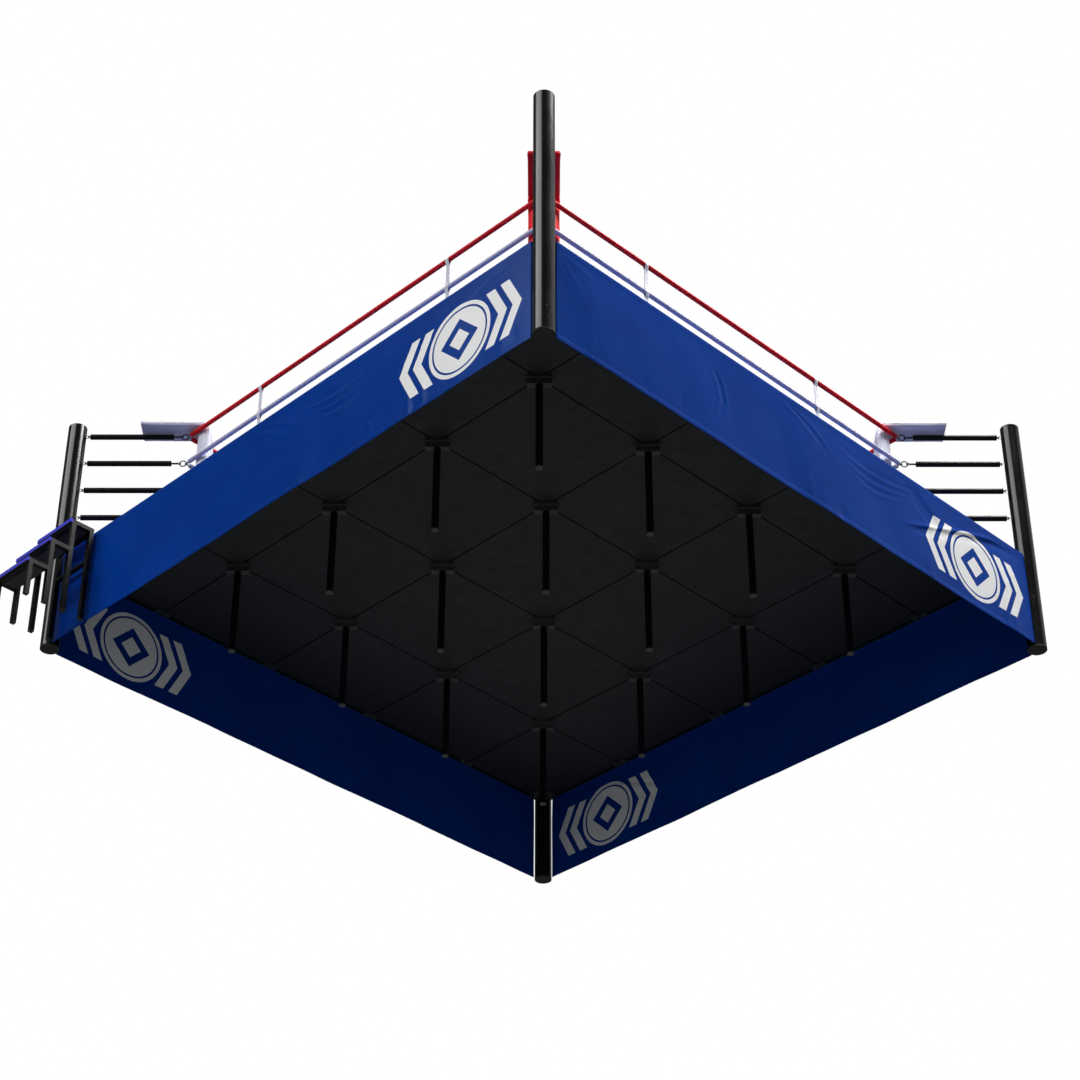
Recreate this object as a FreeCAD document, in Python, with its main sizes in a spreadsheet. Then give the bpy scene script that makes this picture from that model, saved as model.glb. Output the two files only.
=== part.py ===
"""Raised competition boxing ring with corner steps.

Millimetres, z up, floor at z = 0, ring sides along x and y. The origin is the bottom centre of
the whole object, so the ring's own centre lies a little towards +x of it, by ring_shift.
The red corner is at (-x, -y), the blue corner at (+x, +y), the two white corners between them.
The steps stand outside the -x side, next to the white corner at (-x, +y).
Every position below is written from the ring's own centre; bind() adds the shift.
"""
import FreeCAD, Part
import math
import os

DIMENSIONS = {
    # from the ring's centre to the bottom centre of the ring and steps together
    "ring_shift": 304.5,
    # corner posts
    "post_half": 3000, "post_radius": 84, "post_wall": 6, "post_top": 2384,
    "cap_thick": 6, "post_foot_thick": 10,
    # deck, its edge rails and the gaps between its panels
    "deck_half": 3030, "deck_under": 890, "deck_thick": 30, "notch_half": 2904,
    "rail_width": 45, "panel_gap": 10, "rail_gap": 1,
    "seam_x_first": -1875, "seam_x_second": -611, "seam_x_third": 646, "seam_x_fourth": 1914,
    "seam_y_first": -1825, "seam_y_second": -640, "seam_y_third": 640, "seam_y_fourth": 1917,
    # brackets and bolts under the deck
    "corner_plate_reach": 200, "corner_plate_thick": 12, "corner_plate_inset": 4,
    "edge_plate_length": 160, "edge_plate_width": 60, "edge_plate_thick": 6,
    "bolt_radius": 8, "bolt_head": 6, "bolt_pitch": 100,
    # legs
    "leg_radius": 30, "leg_wall": 3, "leg_foot_radius": 31, "leg_foot_thick": 10,
    "head_length": 200, "head_width": 60, "head_height": 50,
    "plate_length": 200, "plate_width": 110, "plate_height": 22,
    # foam mat, canvas and skirts
    "mat_half": 2990, "mat_thick": 40,
    "canvas_half": 3033.5, "canvas_thick": 3, "canvas_shoulder": 35, "canvas_slope": 28,
    "canvas_drop": 886, "canvas_notch": 2901,
    "skirt_inner": 3035, "skirt_thick": 3, "skirt_half_length": 2908, "skirt_top": 936,
    "skirt_bottom": 6,
    # ropes, their steel cores and corner rings
    "rope_lowest": 1388, "rope_pitch": 300, "rope_cross": 4.2, "rope_radius": 21,
    "neck_radius": 17, "neck_spare": 1, "rope_start": 34, "core_radius": 6, "core_bore": 6.3, "core_start": 13,
    "eye_major": 12, "eye_minor": 3.5, "eye_offset": 2.9,
    "ring_centre": 987, "ring_major": 30, "ring_minor": 5,
    # spacer straps
    "strap_width": 38, "strap_thick": 2.5, "strap_clear": 0.4,
    "strap_west_low": -1155, "strap_west_high": 1258,
    "strap_south_low": -1080, "strap_south_high": 1108, "strap_hidden": 1150,
    # turnbuckles between post and ring
    "loop_start": 84, "loop_centre": 98, "loop_major": 14, "loop_minor": 4,
    "link_major": 11, "link_minor": 4, "link_centre": 114.7, "hook_major": 12.5,
    "hook_centre": 953.6, "screw_radius": 8, "screw_bore": 8.4,
    "post_screw_start": 126, "post_screw_end": 330, "ring_screw_start": 670,
    "ring_screw_end": 941, "barrel_start": 230, "barrel_length": 540,
    "barrel_collar": 60, "collar_radius": 15, "hex_radius": 17, "bore_depth": 130,
    "sleeve_start": 123, "sleeve_length": 759, "sleeve_radius": 26, "sleeve_bore": 19,
    # corner pads
    "pad_back": 1112, "pad_front": 1232, "pad_half": 140, "pad_back_half": 55,
    "pad_bottom": 1215, "pad_top": 2380, "hood_start": 577, "hood_thick": 50, "pad_bend": 95,
    "tie_along": 100, "tie_width": 25, "tie_thick": 2, "tie_tab": 12,
    # steps
    "step_near": 2440, "step_far": 2885, "step_inner": -3094, "step_going": 186,
    "step_top": 936, "step_rise": 290, "step_tube": 40, "step_foot": 8,
    "tread_thick": 36, "tread_gap": 2, "nosing": 20, "bar_height": 25,
}

doc = FreeCAD.newDocument("boxing_ring")
sheet = doc.addObject("Spreadsheet::Sheet", "dims")
for row, (alias, value) in enumerate(DIMENSIONS.items(), start=1):
    sheet.set("A%d" % row, alias)
    sheet.set("B%d" % row, str(value))
    sheet.setAlias("B%d" % row, alias)
doc.recompute()

UP = FreeCAD.Vector(0, 0, 1)
ALONG_X = FreeCAD.Vector(1, 0, 0)
ALONG_Y = FreeCAD.Vector(0, 1, 0)
LEVELS = range(4)
nodes = []


def ref(text):
    """Turn bare dimension names in a formula into references to the sheet."""
    words = sorted(DIMENSIONS, key=len, reverse=True)
    out = text
    for index, word in enumerate(words):
        out = out.replace(word, "<%d>" % index)
    for index, word in enumerate(words):
        out = out.replace("<%d>" % index, "dims." + word)
    return out


def bind(obj, sizes, base):
    """Drive an object's sizes and the base of its placement from the sheet."""
    for prop, text in sizes.items():
        obj.setExpression(prop, ref(text))
    moved = "%s + ring_shift" % base[0], base[1], base[2]
    for axis, text in zip("xyz", moved):
        obj.setExpression("Placement.Base.%s" % axis, ref(text))


def box(size, centre, angle=0):
    """Box centred in plan on the first two values of centre, standing on the third."""
    length, width, height = size
    obj = doc.addObject("Part::Box", "box")
    obj.Placement = FreeCAD.Placement(FreeCAD.Vector(), FreeCAD.Rotation(UP, angle))
    along = "((%s) / 2)" % length
    across = "((%s) / 2)" % width
    turn = "cos(%s deg)" % angle, "sin(%s deg)" % angle
    base = (
        "%s - %s * %s + %s * %s" % (centre[0], along, turn[0], across, turn[1]),
        "%s - %s * %s - %s * %s" % (centre[1], along, turn[1], across, turn[0]),
        centre[2],
    )
    bind(obj, {"Length": length, "Width": width, "Height": height}, base)
    return obj


def rod(radius, length, start, direction=UP):
    """Round bar from a start point along a direction."""
    obj = doc.addObject("Part::Cylinder", "rod")
    obj.Placement = FreeCAD.Placement(FreeCAD.Vector(), FreeCAD.Rotation(UP, direction))
    bind(obj, {"Radius": radius, "Height": length}, start)
    return obj


def torus(major, minor, centre, rotation=FreeCAD.Rotation(), sweep=360):
    """Bent round bar about a centre, a full ring unless a smaller sweep is given."""
    obj = doc.addObject("Part::Torus", "torus")
    obj.Placement = FreeCAD.Placement(FreeCAD.Vector(), rotation)
    obj.Angle3 = sweep
    bind(obj, {"Radius1": major, "Radius2": minor}, centre)
    return obj


def cut(base, tool):
    obj = doc.addObject("Part::Cut", "cut")
    obj.Base = base
    obj.Tool = tool
    return obj


def fuse(shapes):
    obj = doc.addObject("Part::MultiFuse", "fuse")
    obj.Shapes = shapes
    obj.Refine = True
    return obj


def tube(radius, bore, length, start, direction=UP):
    return cut(rod(radius, length, start, direction), rod(bore, length, start, direction))


def node(label, members):
    """Finish one named part; members that do not touch stay separate solids."""
    obj = members[0]
    if len(members) > 1:
        obj = doc.addObject("Part::Compound", "set")
        obj.Links = members
    obj.Label = label
    nodes.append(obj)
    return obj


class Corner:
    """Corner-local directions: t runs from the post axis to the ring centre, w across it."""

    def __init__(self, name, side_x, side_y, angle):
        self.name = name
        self.sides = side_x, side_y
        self.angle = angle
        heading = math.radians(angle)
        self.inward = FreeCAD.Vector(math.cos(heading), math.sin(heading), 0)
        self.across = FreeCAD.Vector(-math.sin(heading), math.cos(heading), 0)

    def at(self, t, w, z):
        turn = "cos(%s deg)" % self.angle, "sin(%s deg)" % self.angle
        return (
            "%s * post_half + %s * (%s) - %s * (%s)" % (self.sides[0], turn[0], t, turn[1], w),
            "%s * post_half + %s * (%s) + %s * (%s)" % (self.sides[1], turn[1], t, turn[0], w),
            z,
        )


CORNERS = [
    Corner("red", -1, -1, 45),
    Corner("white_east", 1, -1, 135),
    Corner("blue", 1, 1, 225),
    Corner("white_west", -1, 1, 315),
]

# ---------------------------------------------------------------- posts
for corner in CORNERS:
    height = "post_top - cap_thick - post_foot_thick"
    post = tube("post_radius", "post_radius - post_wall", height, corner.at("0", "0", "post_foot_thick"))
    node("post_" + corner.name, [post])
node("post_caps", [rod("post_radius", "cap_thick", c.at("0", "0", "post_top - cap_thick")) for c in CORNERS])
node("post_feet", [rod("post_radius", "post_foot_thick", c.at("0", "0", "0")) for c in CORNERS])

# ---------------------------------------------------------------- deck
SEAMS_X = ["seam_x_first", "seam_x_second", "seam_x_third", "seam_x_fourth"]
SEAMS_Y = ["seam_y_first", "seam_y_second", "seam_y_third", "seam_y_fourth"]
PANEL_EDGE = "(deck_half - rail_width - rail_gap)"


def spans(seams):
    """Start and end of each panel between the rails and the seams."""
    lows = ["-" + PANEL_EDGE] + ["(%s + panel_gap / 2)" % s for s in seams]
    highs = ["(%s - panel_gap / 2)" % s for s in seams] + [PANEL_EDGE]
    return list(zip(lows, highs))


def notch_tool(side_x, side_y, start, bottom, height):
    """Square block that clears a corner beyond the start distance on both axes."""
    size = "(post_half - %s + 200)" % start
    centre = (
        "%d * (%s + %s / 2)" % (side_x, start, size),
        "%d * (%s + %s / 2)" % (side_y, start, size),
        bottom,
    )
    return box((size, size, height), centre)


def notched(blank, start, bottom, height):
    """Clear all four corners of a wide flat part for the posts."""
    tools = [notch_tool(*corner.sides, start, bottom, height) for corner in CORNERS]
    return cut(blank, fuse(tools))


def panel(span_x, span_y, corner_sides):
    """One deck panel; a panel in a ring corner is cut back for the post."""
    size = "%s - %s" % (span_x[1], span_x[0]), "%s - %s" % (span_y[1], span_y[0]), "deck_thick"
    middle = "(%s + %s) / 2" % span_x, "(%s + %s) / 2" % span_y, "deck_under"
    blank = box(size, middle)
    if corner_sides is None:
        return blank
    return cut(blank, notch_tool(*corner_sides, "notch_half", "deck_under - 5", "deck_thick + 10"))


for row, span_y in enumerate(spans(SEAMS_Y)):
    panels = []
    for column, span_x in enumerate(spans(SEAMS_X)):
        is_corner = row in (0, 4) and column in (0, 4)
        sides = (column // 2 - 1, row // 2 - 1) if is_corner else None
        panels.append(panel(span_x, span_y, sides))
    node("deck_row_%d" % (row + 1), panels)

RAIL_CENTRE = "(deck_half - rail_width / 2)"
rails = []
for side in (-1, 1):
    centre = "%d * %s" % (side, RAIL_CENTRE)
    rails.append(box(("2 * notch_half", "rail_width", "deck_thick"), ("0", centre, "deck_under")))
    rails.append(box(("rail_width", "2 * notch_half", "deck_thick"), (centre, "0", "deck_under")))
node("edge_rails", rails)

PLATE_UNDER = "deck_under - corner_plate_thick"
PLATE_SIZE = "(corner_plate_reach + deck_half - corner_plate_inset - post_half)"
PLATE_MIDDLE = "(deck_half - corner_plate_inset - %s / 2)" % PLATE_SIZE
corner_plates = []
for corner in CORNERS:
    middle = ["%d * %s" % (side, PLATE_MIDDLE) for side in corner.sides]
    blank = box((PLATE_SIZE, PLATE_SIZE, "corner_plate_thick"), (middle[0], middle[1], PLATE_UNDER))
    hole = rod("post_radius", "corner_plate_thick + 10", corner.at("0", "0", PLATE_UNDER + " - 5"))
    corner_plates.append(cut(blank, hole))
node("corner_brackets", corner_plates)

EDGE_LINE = "(deck_half - rail_width)"
EDGE_UNDER = "deck_under - edge_plate_thick"
edge_plates = []
bolts = []
for side in (-1, 1):
    line = "%d * %s" % (side, EDGE_LINE)
    for seam in SEAMS_X:
        size = "edge_plate_length", "edge_plate_width", "edge_plate_thick"
        edge_plates.append(box(size, (seam, line, EDGE_UNDER)))
        for end in (-1, 1):
            spot = "%s + %d * bolt_pitch / 2" % (seam, end), line, EDGE_UNDER + " - bolt_head"
            bolts.append(rod("bolt_radius", "bolt_head", spot))
    for seam in SEAMS_Y:
        size = "edge_plate_width", "edge_plate_length", "edge_plate_thick"
        edge_plates.append(box(size, (line, seam, EDGE_UNDER)))
        for end in (-1, 1):
            spot = line, "%s + %d * bolt_pitch / 2" % (seam, end), EDGE_UNDER + " - bolt_head"
            bolts.append(rod("bolt_radius", "bolt_head", spot))
node("edge_brackets", edge_plates)
node("bracket_bolts", bolts)

# ---------------------------------------------------------------- legs
HEAD_UNDER = "(deck_under - plate_height - head_height)"
DIAGONAL = -45
leg_spots = [(x, y) for y in SEAMS_Y for x in SEAMS_X]
LEG_LENGTH = HEAD_UNDER + " - leg_foot_thick"
legs = [tube("leg_radius", "leg_radius - leg_wall", LEG_LENGTH, (x, y, "leg_foot_thick")) for x, y in leg_spots]
node("legs", legs)
node("leg_feet", [rod("leg_foot_radius", "leg_foot_thick", (x, y, "0")) for x, y in leg_spots])
HEAD_SIZE = "head_length", "head_width", "head_height"
node("leg_heads", [box(HEAD_SIZE, (x, y, HEAD_UNDER), DIAGONAL) for x, y in leg_spots])
TOP_SIZE = "plate_length", "plate_width", "plate_height"
node("head_plates", [box(TOP_SIZE, (x, y, "deck_under - plate_height"), DIAGONAL) for x, y in leg_spots])

# ---------------------------------------------------------------- mat, canvas and skirts
DECK_TOP = "(deck_under + deck_thick)"
MAT_TOP = "(%s + mat_thick)" % DECK_TOP
mat = box(("2 * mat_half", "2 * mat_half", "mat_thick"), ("0", "0", DECK_TOP))
node("foam_mat", [notched(mat, "notch_half", DECK_TOP + " - 5", "mat_thick + 10")])


def frustum(half_low, half_high, low, height):
    """Square block whose four sides lean in from its lower half width to its upper one."""
    obj = doc.addObject("Part::Wedge", "frustum")
    obj.Placement = FreeCAD.Placement(FreeCAD.Vector(), FreeCAD.Rotation(ALONG_X, 90))
    low_half, high_half = "(%s)" % half_low, "(%s)" % half_high
    sizes = {
        "Xmin": "-" + low_half, "Xmax": low_half, "Zmin": "-" + low_half, "Zmax": low_half,
        "X2min": "-" + high_half, "X2max": high_half,
        "Z2min": "-" + high_half, "Z2max": high_half,
        "Ymax": height,
    }
    bind(obj, sizes, ("0", "0", low))
    return obj


SHOULDER = "(%s + canvas_thick - canvas_slope)" % MAT_TOP
outer = fuse([
    box(("2 * canvas_half", "2 * canvas_half", SHOULDER + " - canvas_drop"), ("0", "0", "canvas_drop")),
    frustum("canvas_half", "canvas_half - canvas_shoulder", SHOULDER, "canvas_slope"),
])
CANVAS_BORE = "(canvas_half - canvas_thick)"
INNER_LOW = "(canvas_drop - 5)"
INNER_SHOULDER = "(%s - canvas_thick)" % SHOULDER
inner = fuse([
    box(("2 * " + CANVAS_BORE, "2 * " + CANVAS_BORE, INNER_SHOULDER + " - " + INNER_LOW), ("0", "0", INNER_LOW)),
    frustum(CANVAS_BORE, CANVAS_BORE + " - canvas_shoulder", INNER_SHOULDER, "canvas_slope"),
])
shell = cut(outer, inner)
node("canvas", [notched(shell, "canvas_notch", "canvas_drop - 5", "120")])

SKIRT_LINE = "(skirt_inner + skirt_thick / 2)"
SKIRT_HEIGHT = "skirt_top - skirt_bottom"
for name, side, along_y in (("west", -1, True), ("south", -1, False), ("east", 1, True), ("north", 1, False)):
    line = "%d * %s" % (side, SKIRT_LINE)
    if along_y:
        skirt = box(("skirt_thick", "2 * skirt_half_length", SKIRT_HEIGHT), (line, "0", "skirt_bottom"))
    else:
        skirt = box(("2 * skirt_half_length", "skirt_thick", SKIRT_HEIGHT), ("0", line, "skirt_bottom"))
    node("skirt_" + name, [skirt])

# ---------------------------------------------------------------- ropes
ROPE_HALF = "(post_half - (ring_centre + ring_major) / sqrt(2))"
SIDES = [
    # name, side of the ring, direction of the rope, lift where ropes cross at the corner rings
    ("west", -1, ALONG_Y, 1),
    ("south", -1, ALONG_X, -1),
    ("east", 1, ALONG_Y, 1),
    ("north", 1, ALONG_X, -1),
]


def on_side(side, direction, along, height):
    """Point on a rope side: its distance along the side and its height."""
    line = "%d * %s" % (side, ROPE_HALF)
    if direction is ALONG_Y:
        return line, along, height
    return along, line, height


def rope_height(level, lift):
    return "rope_lowest + %d * rope_pitch + %d * rope_cross" % (level, lift)


STRAPS = {
    "west": ("strap_west_low", "strap_west_high"), "south": ("strap_south_low", "strap_south_high"),
    "east": ("-strap_hidden", "strap_hidden"), "north": ("-strap_hidden", "strap_hidden"),
}
cores = []
for level in LEVELS:
    covers = []
    for name, side, direction, lift in SIDES:
        height = rope_height(level, lift)
        start = on_side(side, direction, "-%s + rope_start" % ROPE_HALF, height)
        length = "2 * %s - 2 * rope_start" % ROPE_HALF
        cover = tube("rope_radius", "core_bore", length, start, direction)
        necks = []
        for along in STRAPS[name]:
            start = on_side(side, direction, "%s - strap_width / 2 - neck_spare" % along, height)
            neck_length = "strap_width + 2 * neck_spare"
            necks.append(tube("rope_radius + 5", "neck_radius", neck_length, start, direction))
        covers.append(cut(cover, fuse(necks)))
        start = on_side(side, direction, "-%s + core_start" % ROPE_HALF, height)
        length = "2 * %s - 2 * core_start" % ROPE_HALF
        wire = rod("core_radius", length, start, direction)
        ends = ["-%s + eye_offset" % ROPE_HALF, "%s - eye_offset" % ROPE_HALF]
        eyes = [torus("eye_major", "eye_minor", on_side(side, direction, end, height)) for end in ends]
        cores.append(fuse([wire] + eyes))
    node("rope_level_%d" % (level + 1), covers)
node("rope_cores", cores)

WEBBING_IN = "(neck_radius + strap_clear)"
WEBBING_OUT = "(neck_radius + strap_clear + strap_thick)"


def stadium(side, direction, along, radius, lift):
    """Rounded upright slab round all the ropes of one side, as wide along them as the strap."""
    low, high = rope_height(0, lift), rope_height(3, lift)
    start = "%s - strap_width / 2" % along
    ends = [rod(radius, "strap_width", on_side(side, direction, start, z), direction) for z in (low, high)]
    size = "strap_width", "2 * " + radius, "3 * rope_pitch"
    if direction is ALONG_Y:
        size = size[1], size[0], size[2]
    return fuse(ends + [box(size, on_side(side, direction, along, low))])


straps = []
for name, side, direction, lift in SIDES:
    for along in STRAPS[name]:
        hull = stadium(side, direction, along, WEBBING_OUT, lift)
        hollow = stadium(side, direction, along, WEBBING_IN, lift)
        straps.append(cut(hull, hollow))
node("spacer_straps", straps)

# ---------------------------------------------------------------- turnbuckles
post_loops = []
rings = []
screws = []
sleeves = []
for corner in CORNERS:
    inward, across = corner.inward, corner.across
    upright_ring = FreeCAD.Rotation(UP, across)
    half_ring = FreeCAD.Rotation(-UP, inward, (-UP).cross(inward), "XYZ")
    for level in LEVELS:
        height = "rope_lowest + %d * rope_pitch" % level
        loop = [torus("loop_major", "loop_minor", corner.at("loop_centre", "0", height), half_ring, 180)]
        for sign in ("+", "-"):
            start = corner.at("loop_start", "0", "%s %s loop_major" % (height, sign))
            loop.append(rod("loop_minor", "loop_centre - loop_start", start, inward))
        post_loops.append(fuse(loop))
        rings.append(torus("ring_major", "ring_minor", corner.at("ring_centre", "0", height), upright_ring))
        post_start = corner.at("post_screw_start", "0", height)
        screws.append(fuse([
            rod("screw_radius", "post_screw_end - post_screw_start", post_start, inward),
            torus("link_major", "link_minor", corner.at("link_centre", "0", height)),
        ]))
        ring_start = corner.at("ring_screw_start", "0", height)
        screws.append(fuse([
            rod("screw_radius", "ring_screw_end - ring_screw_start", ring_start, inward),
            torus("hook_major", "link_minor", corner.at("hook_centre", "0", height)),
        ]))
        sleeve_start = corner.at("sleeve_start", "0", height)
        sleeves.append(tube("sleeve_radius", "sleeve_bore", "sleeve_length", sleeve_start, inward))
        hexagon = doc.addObject("Part::Prism", "hexagon")
        hexagon.Polygon = 6
        hexagon.Placement = FreeCAD.Placement(FreeCAD.Vector(), FreeCAD.Rotation(UP, inward))
        hex_start = corner.at("barrel_start + barrel_collar", "0", height)
        bind(hexagon, {"Circumradius": "hex_radius", "Height": "barrel_length - 2 * barrel_collar"}, hex_start)
        barrel_start = corner.at("barrel_start", "0", height)
        body = fuse([rod("collar_radius", "barrel_length", barrel_start, inward), hexagon])
        far_start = corner.at("barrel_start + barrel_length - bore_depth", "0", height)
        bores = fuse([rod("screw_bore", "bore_depth", start, inward) for start in (barrel_start, far_start)])
        node("barrel_%s_%d" % (corner.name, level + 1), [cut(body, bores)])
node("post_loops", post_loops)
node("corner_rings", rings)
node("turnbuckle_screws", screws)
node("turnbuckle_sleeves", sleeves)

# ---------------------------------------------------------------- corner pads
RING_BAR = "(ring_centre + ring_major)"
BACK_RUN = "(pad_half - pad_back_half)"
ties = []
for corner in CORNERS:
    slab_size = "pad_front - pad_back", "2 * pad_half", "pad_top - pad_bottom"
    slab = box(slab_size, corner.at("(pad_back + pad_front) / 2", "0", "pad_bottom"), corner.angle)
    hood_size = "pad_front - hood_start", "2 * pad_half", "hood_thick"
    hood_spot = corner.at("(hood_start + pad_front) / 2", "0", "pad_top - hood_thick")
    hood = box(hood_size, hood_spot, corner.angle)
    tools = []
    for hand in (-1, 1):
        bevel_size = "2 * " + BACK_RUN, "pad_half", "pad_top - pad_bottom"
        bevel_t = "pad_back + %s / 2 - pad_half / 2 / sqrt(2)" % BACK_RUN
        bevel_w = "%d * (pad_back_half + %s / 2 + pad_half / 2 / sqrt(2))" % (hand, BACK_RUN)
        tools.append(box(bevel_size, corner.at(bevel_t, bevel_w, "pad_bottom"), corner.angle + hand * 45))
        heading = corner.inward + corner.across * hand
        heading.normalize()
        for level in LEVELS[:2]:
            lift = 1 if abs(heading.y) > abs(heading.x) else -1
            height = rope_height(level, lift)
            run = "((tie_along - tie_width / 2) / sqrt(2))"
            start = corner.at("%s + %s" % (RING_BAR, run), "%d * %s" % (hand, run), height)
            band = tube("rope_radius + strap_clear + tie_thick", "rope_radius + strap_clear", "tie_width",
                        start, heading)
            gap = "((pad_back - %s - pad_back_half) / sqrt(2))" % RING_BAR
            band_edge = "(rope_radius + strap_clear + tie_thick / 2)"
            reach = "((%s + %s) / 2 / sqrt(2))" % (gap, band_edge)
            tab_t = "%s + tie_along / sqrt(2) + %s" % (RING_BAR, reach)
            tab_w = "%d * (tie_along / sqrt(2) - %s)" % (hand, reach)
            tab_spot = corner.at(tab_t, tab_w, "%s - tie_tab / 2" % height)
            tab = box(("tie_width", "%s - %s" % (gap, band_edge), "tie_tab"), tab_spot, corner.angle + hand * 45)
            ties.append(fuse([band, tab]))
    block_size = "pad_bend + 5", "2 * pad_half + 2", "pad_bend + 5"
    block = box(block_size, corner.at("pad_front + 2.5 - pad_bend / 2", "0", "pad_top - pad_bend"), corner.angle)
    bend_start = corner.at("pad_front - pad_bend", "-pad_half - 2", "pad_top - pad_bend")
    rounding = cut(block, rod("pad_bend", "2 * pad_half + 4", bend_start, corner.across))
    node("pad_" + corner.name, [cut(fuse([cut(slab, fuse(tools)), hood]), rounding)])
node("pad_ties", ties)

# ---------------------------------------------------------------- steps
COLUMNS = ["(step_inner - %d * step_going)" % index for index in range(4)]
COLUMN_TOPS = ["(step_top - %d * step_rise)" % index for index in (0, 0, 1, 2)]
FRAMES = "step_near", "step_far"
side_frames = []
step_feet = []
for line in FRAMES:
    members = []
    for column, top in zip(COLUMNS, COLUMN_TOPS):
        members.append(box(("step_tube", "step_tube", "%s - step_foot" % top), (column, line, "step_foot")))
        step_feet.append(box(("step_tube", "step_tube", "step_foot"), (column, line, "0")))
    for index in range(3):
        middle = "(%s + %s) / 2" % (COLUMNS[index], COLUMNS[index + 1])
        top = COLUMN_TOPS[index + 1]
        members.append(box(("step_going", "step_tube", "step_tube"), (middle, line, "%s - step_tube" % top)))
    side_frames.append(fuse(members))
node("steps_side_frames", side_frames)
node("steps_feet", step_feet)

INSIDE = "(step_far - step_near - step_tube)"
MID_LINE = "((step_near + step_far) / 2)"
treads = []
bars = []
for index in range(3):
    top = COLUMN_TOPS[index + 1]
    under = "%s - tread_thick" % top
    outer_face = "(%s - step_tube / 2 - 1)" % COLUMNS[index + 1]
    inner_face = "(%s - step_tube / 2 - 1)" % COLUMNS[index] if index else "(%s + step_tube / 2)" % COLUMNS[0]
    board = box(
        ("%s - %s" % (inner_face, outer_face), INSIDE + " - tread_gap", "tread_thick"),
        ("(%s + %s) / 2" % (inner_face, outer_face), MID_LINE, under),
    )
    lip = box(
        ("nosing", "step_far - step_near + step_tube", "tread_thick"),
        ("%s - nosing / 2" % outer_face, MID_LINE, under),
    )
    treads.append(fuse([board, lip]))
    bar_z = "%s - tread_thick - bar_height" % top
    bars.append(box(("step_tube", INSIDE, "bar_height"), (COLUMNS[index + 1], MID_LINE, bar_z)))
first_bar_z = "%s - tread_thick - bar_height" % COLUMN_TOPS[0]
bars.append(box(("step_tube", INSIDE, "bar_height"), (COLUMNS[0], MID_LINE, first_bar_z)))
low_bar_z = "%s - tread_thick - bar_height - step_rise" % COLUMN_TOPS[0]
bars.append(box(("step_tube", INSIDE, "bar_height"), (COLUMNS[0], MID_LINE, low_bar_z)))
node("steps_treads", treads)
node("steps_cross_bars", bars)

# ---------------------------------------------------------------- checks and export
doc.recompute()
for obj in doc.Objects:
    if "Invalid" in obj.State or "Error" in obj.State:
        raise RuntimeError("%s is in a bad state: %s" % (obj.Label, obj.State))
os.makedirs("parts", exist_ok=True)
for part in nodes:
    if part.Shape.isNull() or not part.Shape.isValid():
        raise RuntimeError("%s has no valid shape" % part.Label)
    if any(solid.Volume <= 0 for solid in part.Shape.Solids):
        raise RuntimeError("%s has an empty solid" % part.Label)
    part.Shape.exportStep("parts/%s.step" % part.Label)
    extent = part.Shape.BoundBox
    print(part.Label, len(part.Shape.Solids), "solids", "z %.1f to %.1f" % (extent.ZMin, extent.ZMax))
print(len(nodes), "nodes")
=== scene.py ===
"""Looks of a raised boxing ring and its corner steps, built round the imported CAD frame.

Metres, z up. RX, RY is the ring's own centre, and the frame's origin is the bottom centre of the
ring and steps together. Soft parts (canvas, mat, skirts, rope covers, straps, sleeves, pads) are
modelled here; hard parts keep their CAD shape and get new finishes.
"""
import math

import bmesh
import bpy
import numpy as np
from mathutils import Matrix, Vector
from mathutils.bvhtree import BVHTree

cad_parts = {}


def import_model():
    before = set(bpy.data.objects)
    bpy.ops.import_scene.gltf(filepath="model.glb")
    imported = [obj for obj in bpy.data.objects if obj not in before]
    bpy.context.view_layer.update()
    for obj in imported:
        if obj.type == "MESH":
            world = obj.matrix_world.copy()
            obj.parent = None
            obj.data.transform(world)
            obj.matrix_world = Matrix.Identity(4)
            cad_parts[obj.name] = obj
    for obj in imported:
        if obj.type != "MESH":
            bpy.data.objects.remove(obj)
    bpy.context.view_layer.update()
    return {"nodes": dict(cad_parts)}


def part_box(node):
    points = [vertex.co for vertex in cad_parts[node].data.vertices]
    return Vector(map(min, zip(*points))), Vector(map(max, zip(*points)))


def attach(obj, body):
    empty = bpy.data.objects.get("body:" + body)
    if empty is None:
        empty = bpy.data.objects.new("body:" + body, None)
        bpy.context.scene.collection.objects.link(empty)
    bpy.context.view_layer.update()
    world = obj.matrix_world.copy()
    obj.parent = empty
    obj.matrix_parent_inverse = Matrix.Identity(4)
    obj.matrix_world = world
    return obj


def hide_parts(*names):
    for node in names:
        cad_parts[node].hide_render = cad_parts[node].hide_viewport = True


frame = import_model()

NODES = frame["nodes"]
canvas_low, canvas_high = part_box("canvas")
RX, RY = (canvas_low.x + canvas_high.x) / 2, (canvas_low.y + canvas_high.y) / 2
POST_HALF = 3.0
# Distance along the diagonal from a post's axis to the place where two ropes would cross.
ROPE_CORNER = 1.017
ROPE_HALF = POST_HALF - ROPE_CORNER / math.sqrt(2)
ROPE_LOWEST, ROPE_PITCH, ROPE_CROSS = 1.388, 0.3, 0.0042
ROPE_RADIUS, NECK_RADIUS = 0.021, 0.017
STRAP_WIDTH = 0.038
LEVELS = range(4)
UP = np.array([0.0, 0.0, 1.0])

# Outward direction of each side, and the direction to the right as seen from outside.
SIDES = {
    "west": ((-1, 0), (0, -1)),
    "south": ((0, -1), (1, 0)),
    "east": ((1, 0), (0, 1)),
    "north": ((0, 1), (-1, 0)),
}
# Signs of each corner's place.
CORNERS = {"red": (-1, -1), "white_east": (1, -1), "blue": (1, 1), "white_west": (-1, 1)}


def place_in_scene(name, data):
    """A new object at the frame's origin."""
    made = bpy.data.objects.new(name, data)
    bpy.context.scene.collection.objects.link(made)
    return made


def turn_angles(count):
    """Evenly spaced angles of one full turn."""
    return np.arange(count) * 2 * math.pi / count


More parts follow.
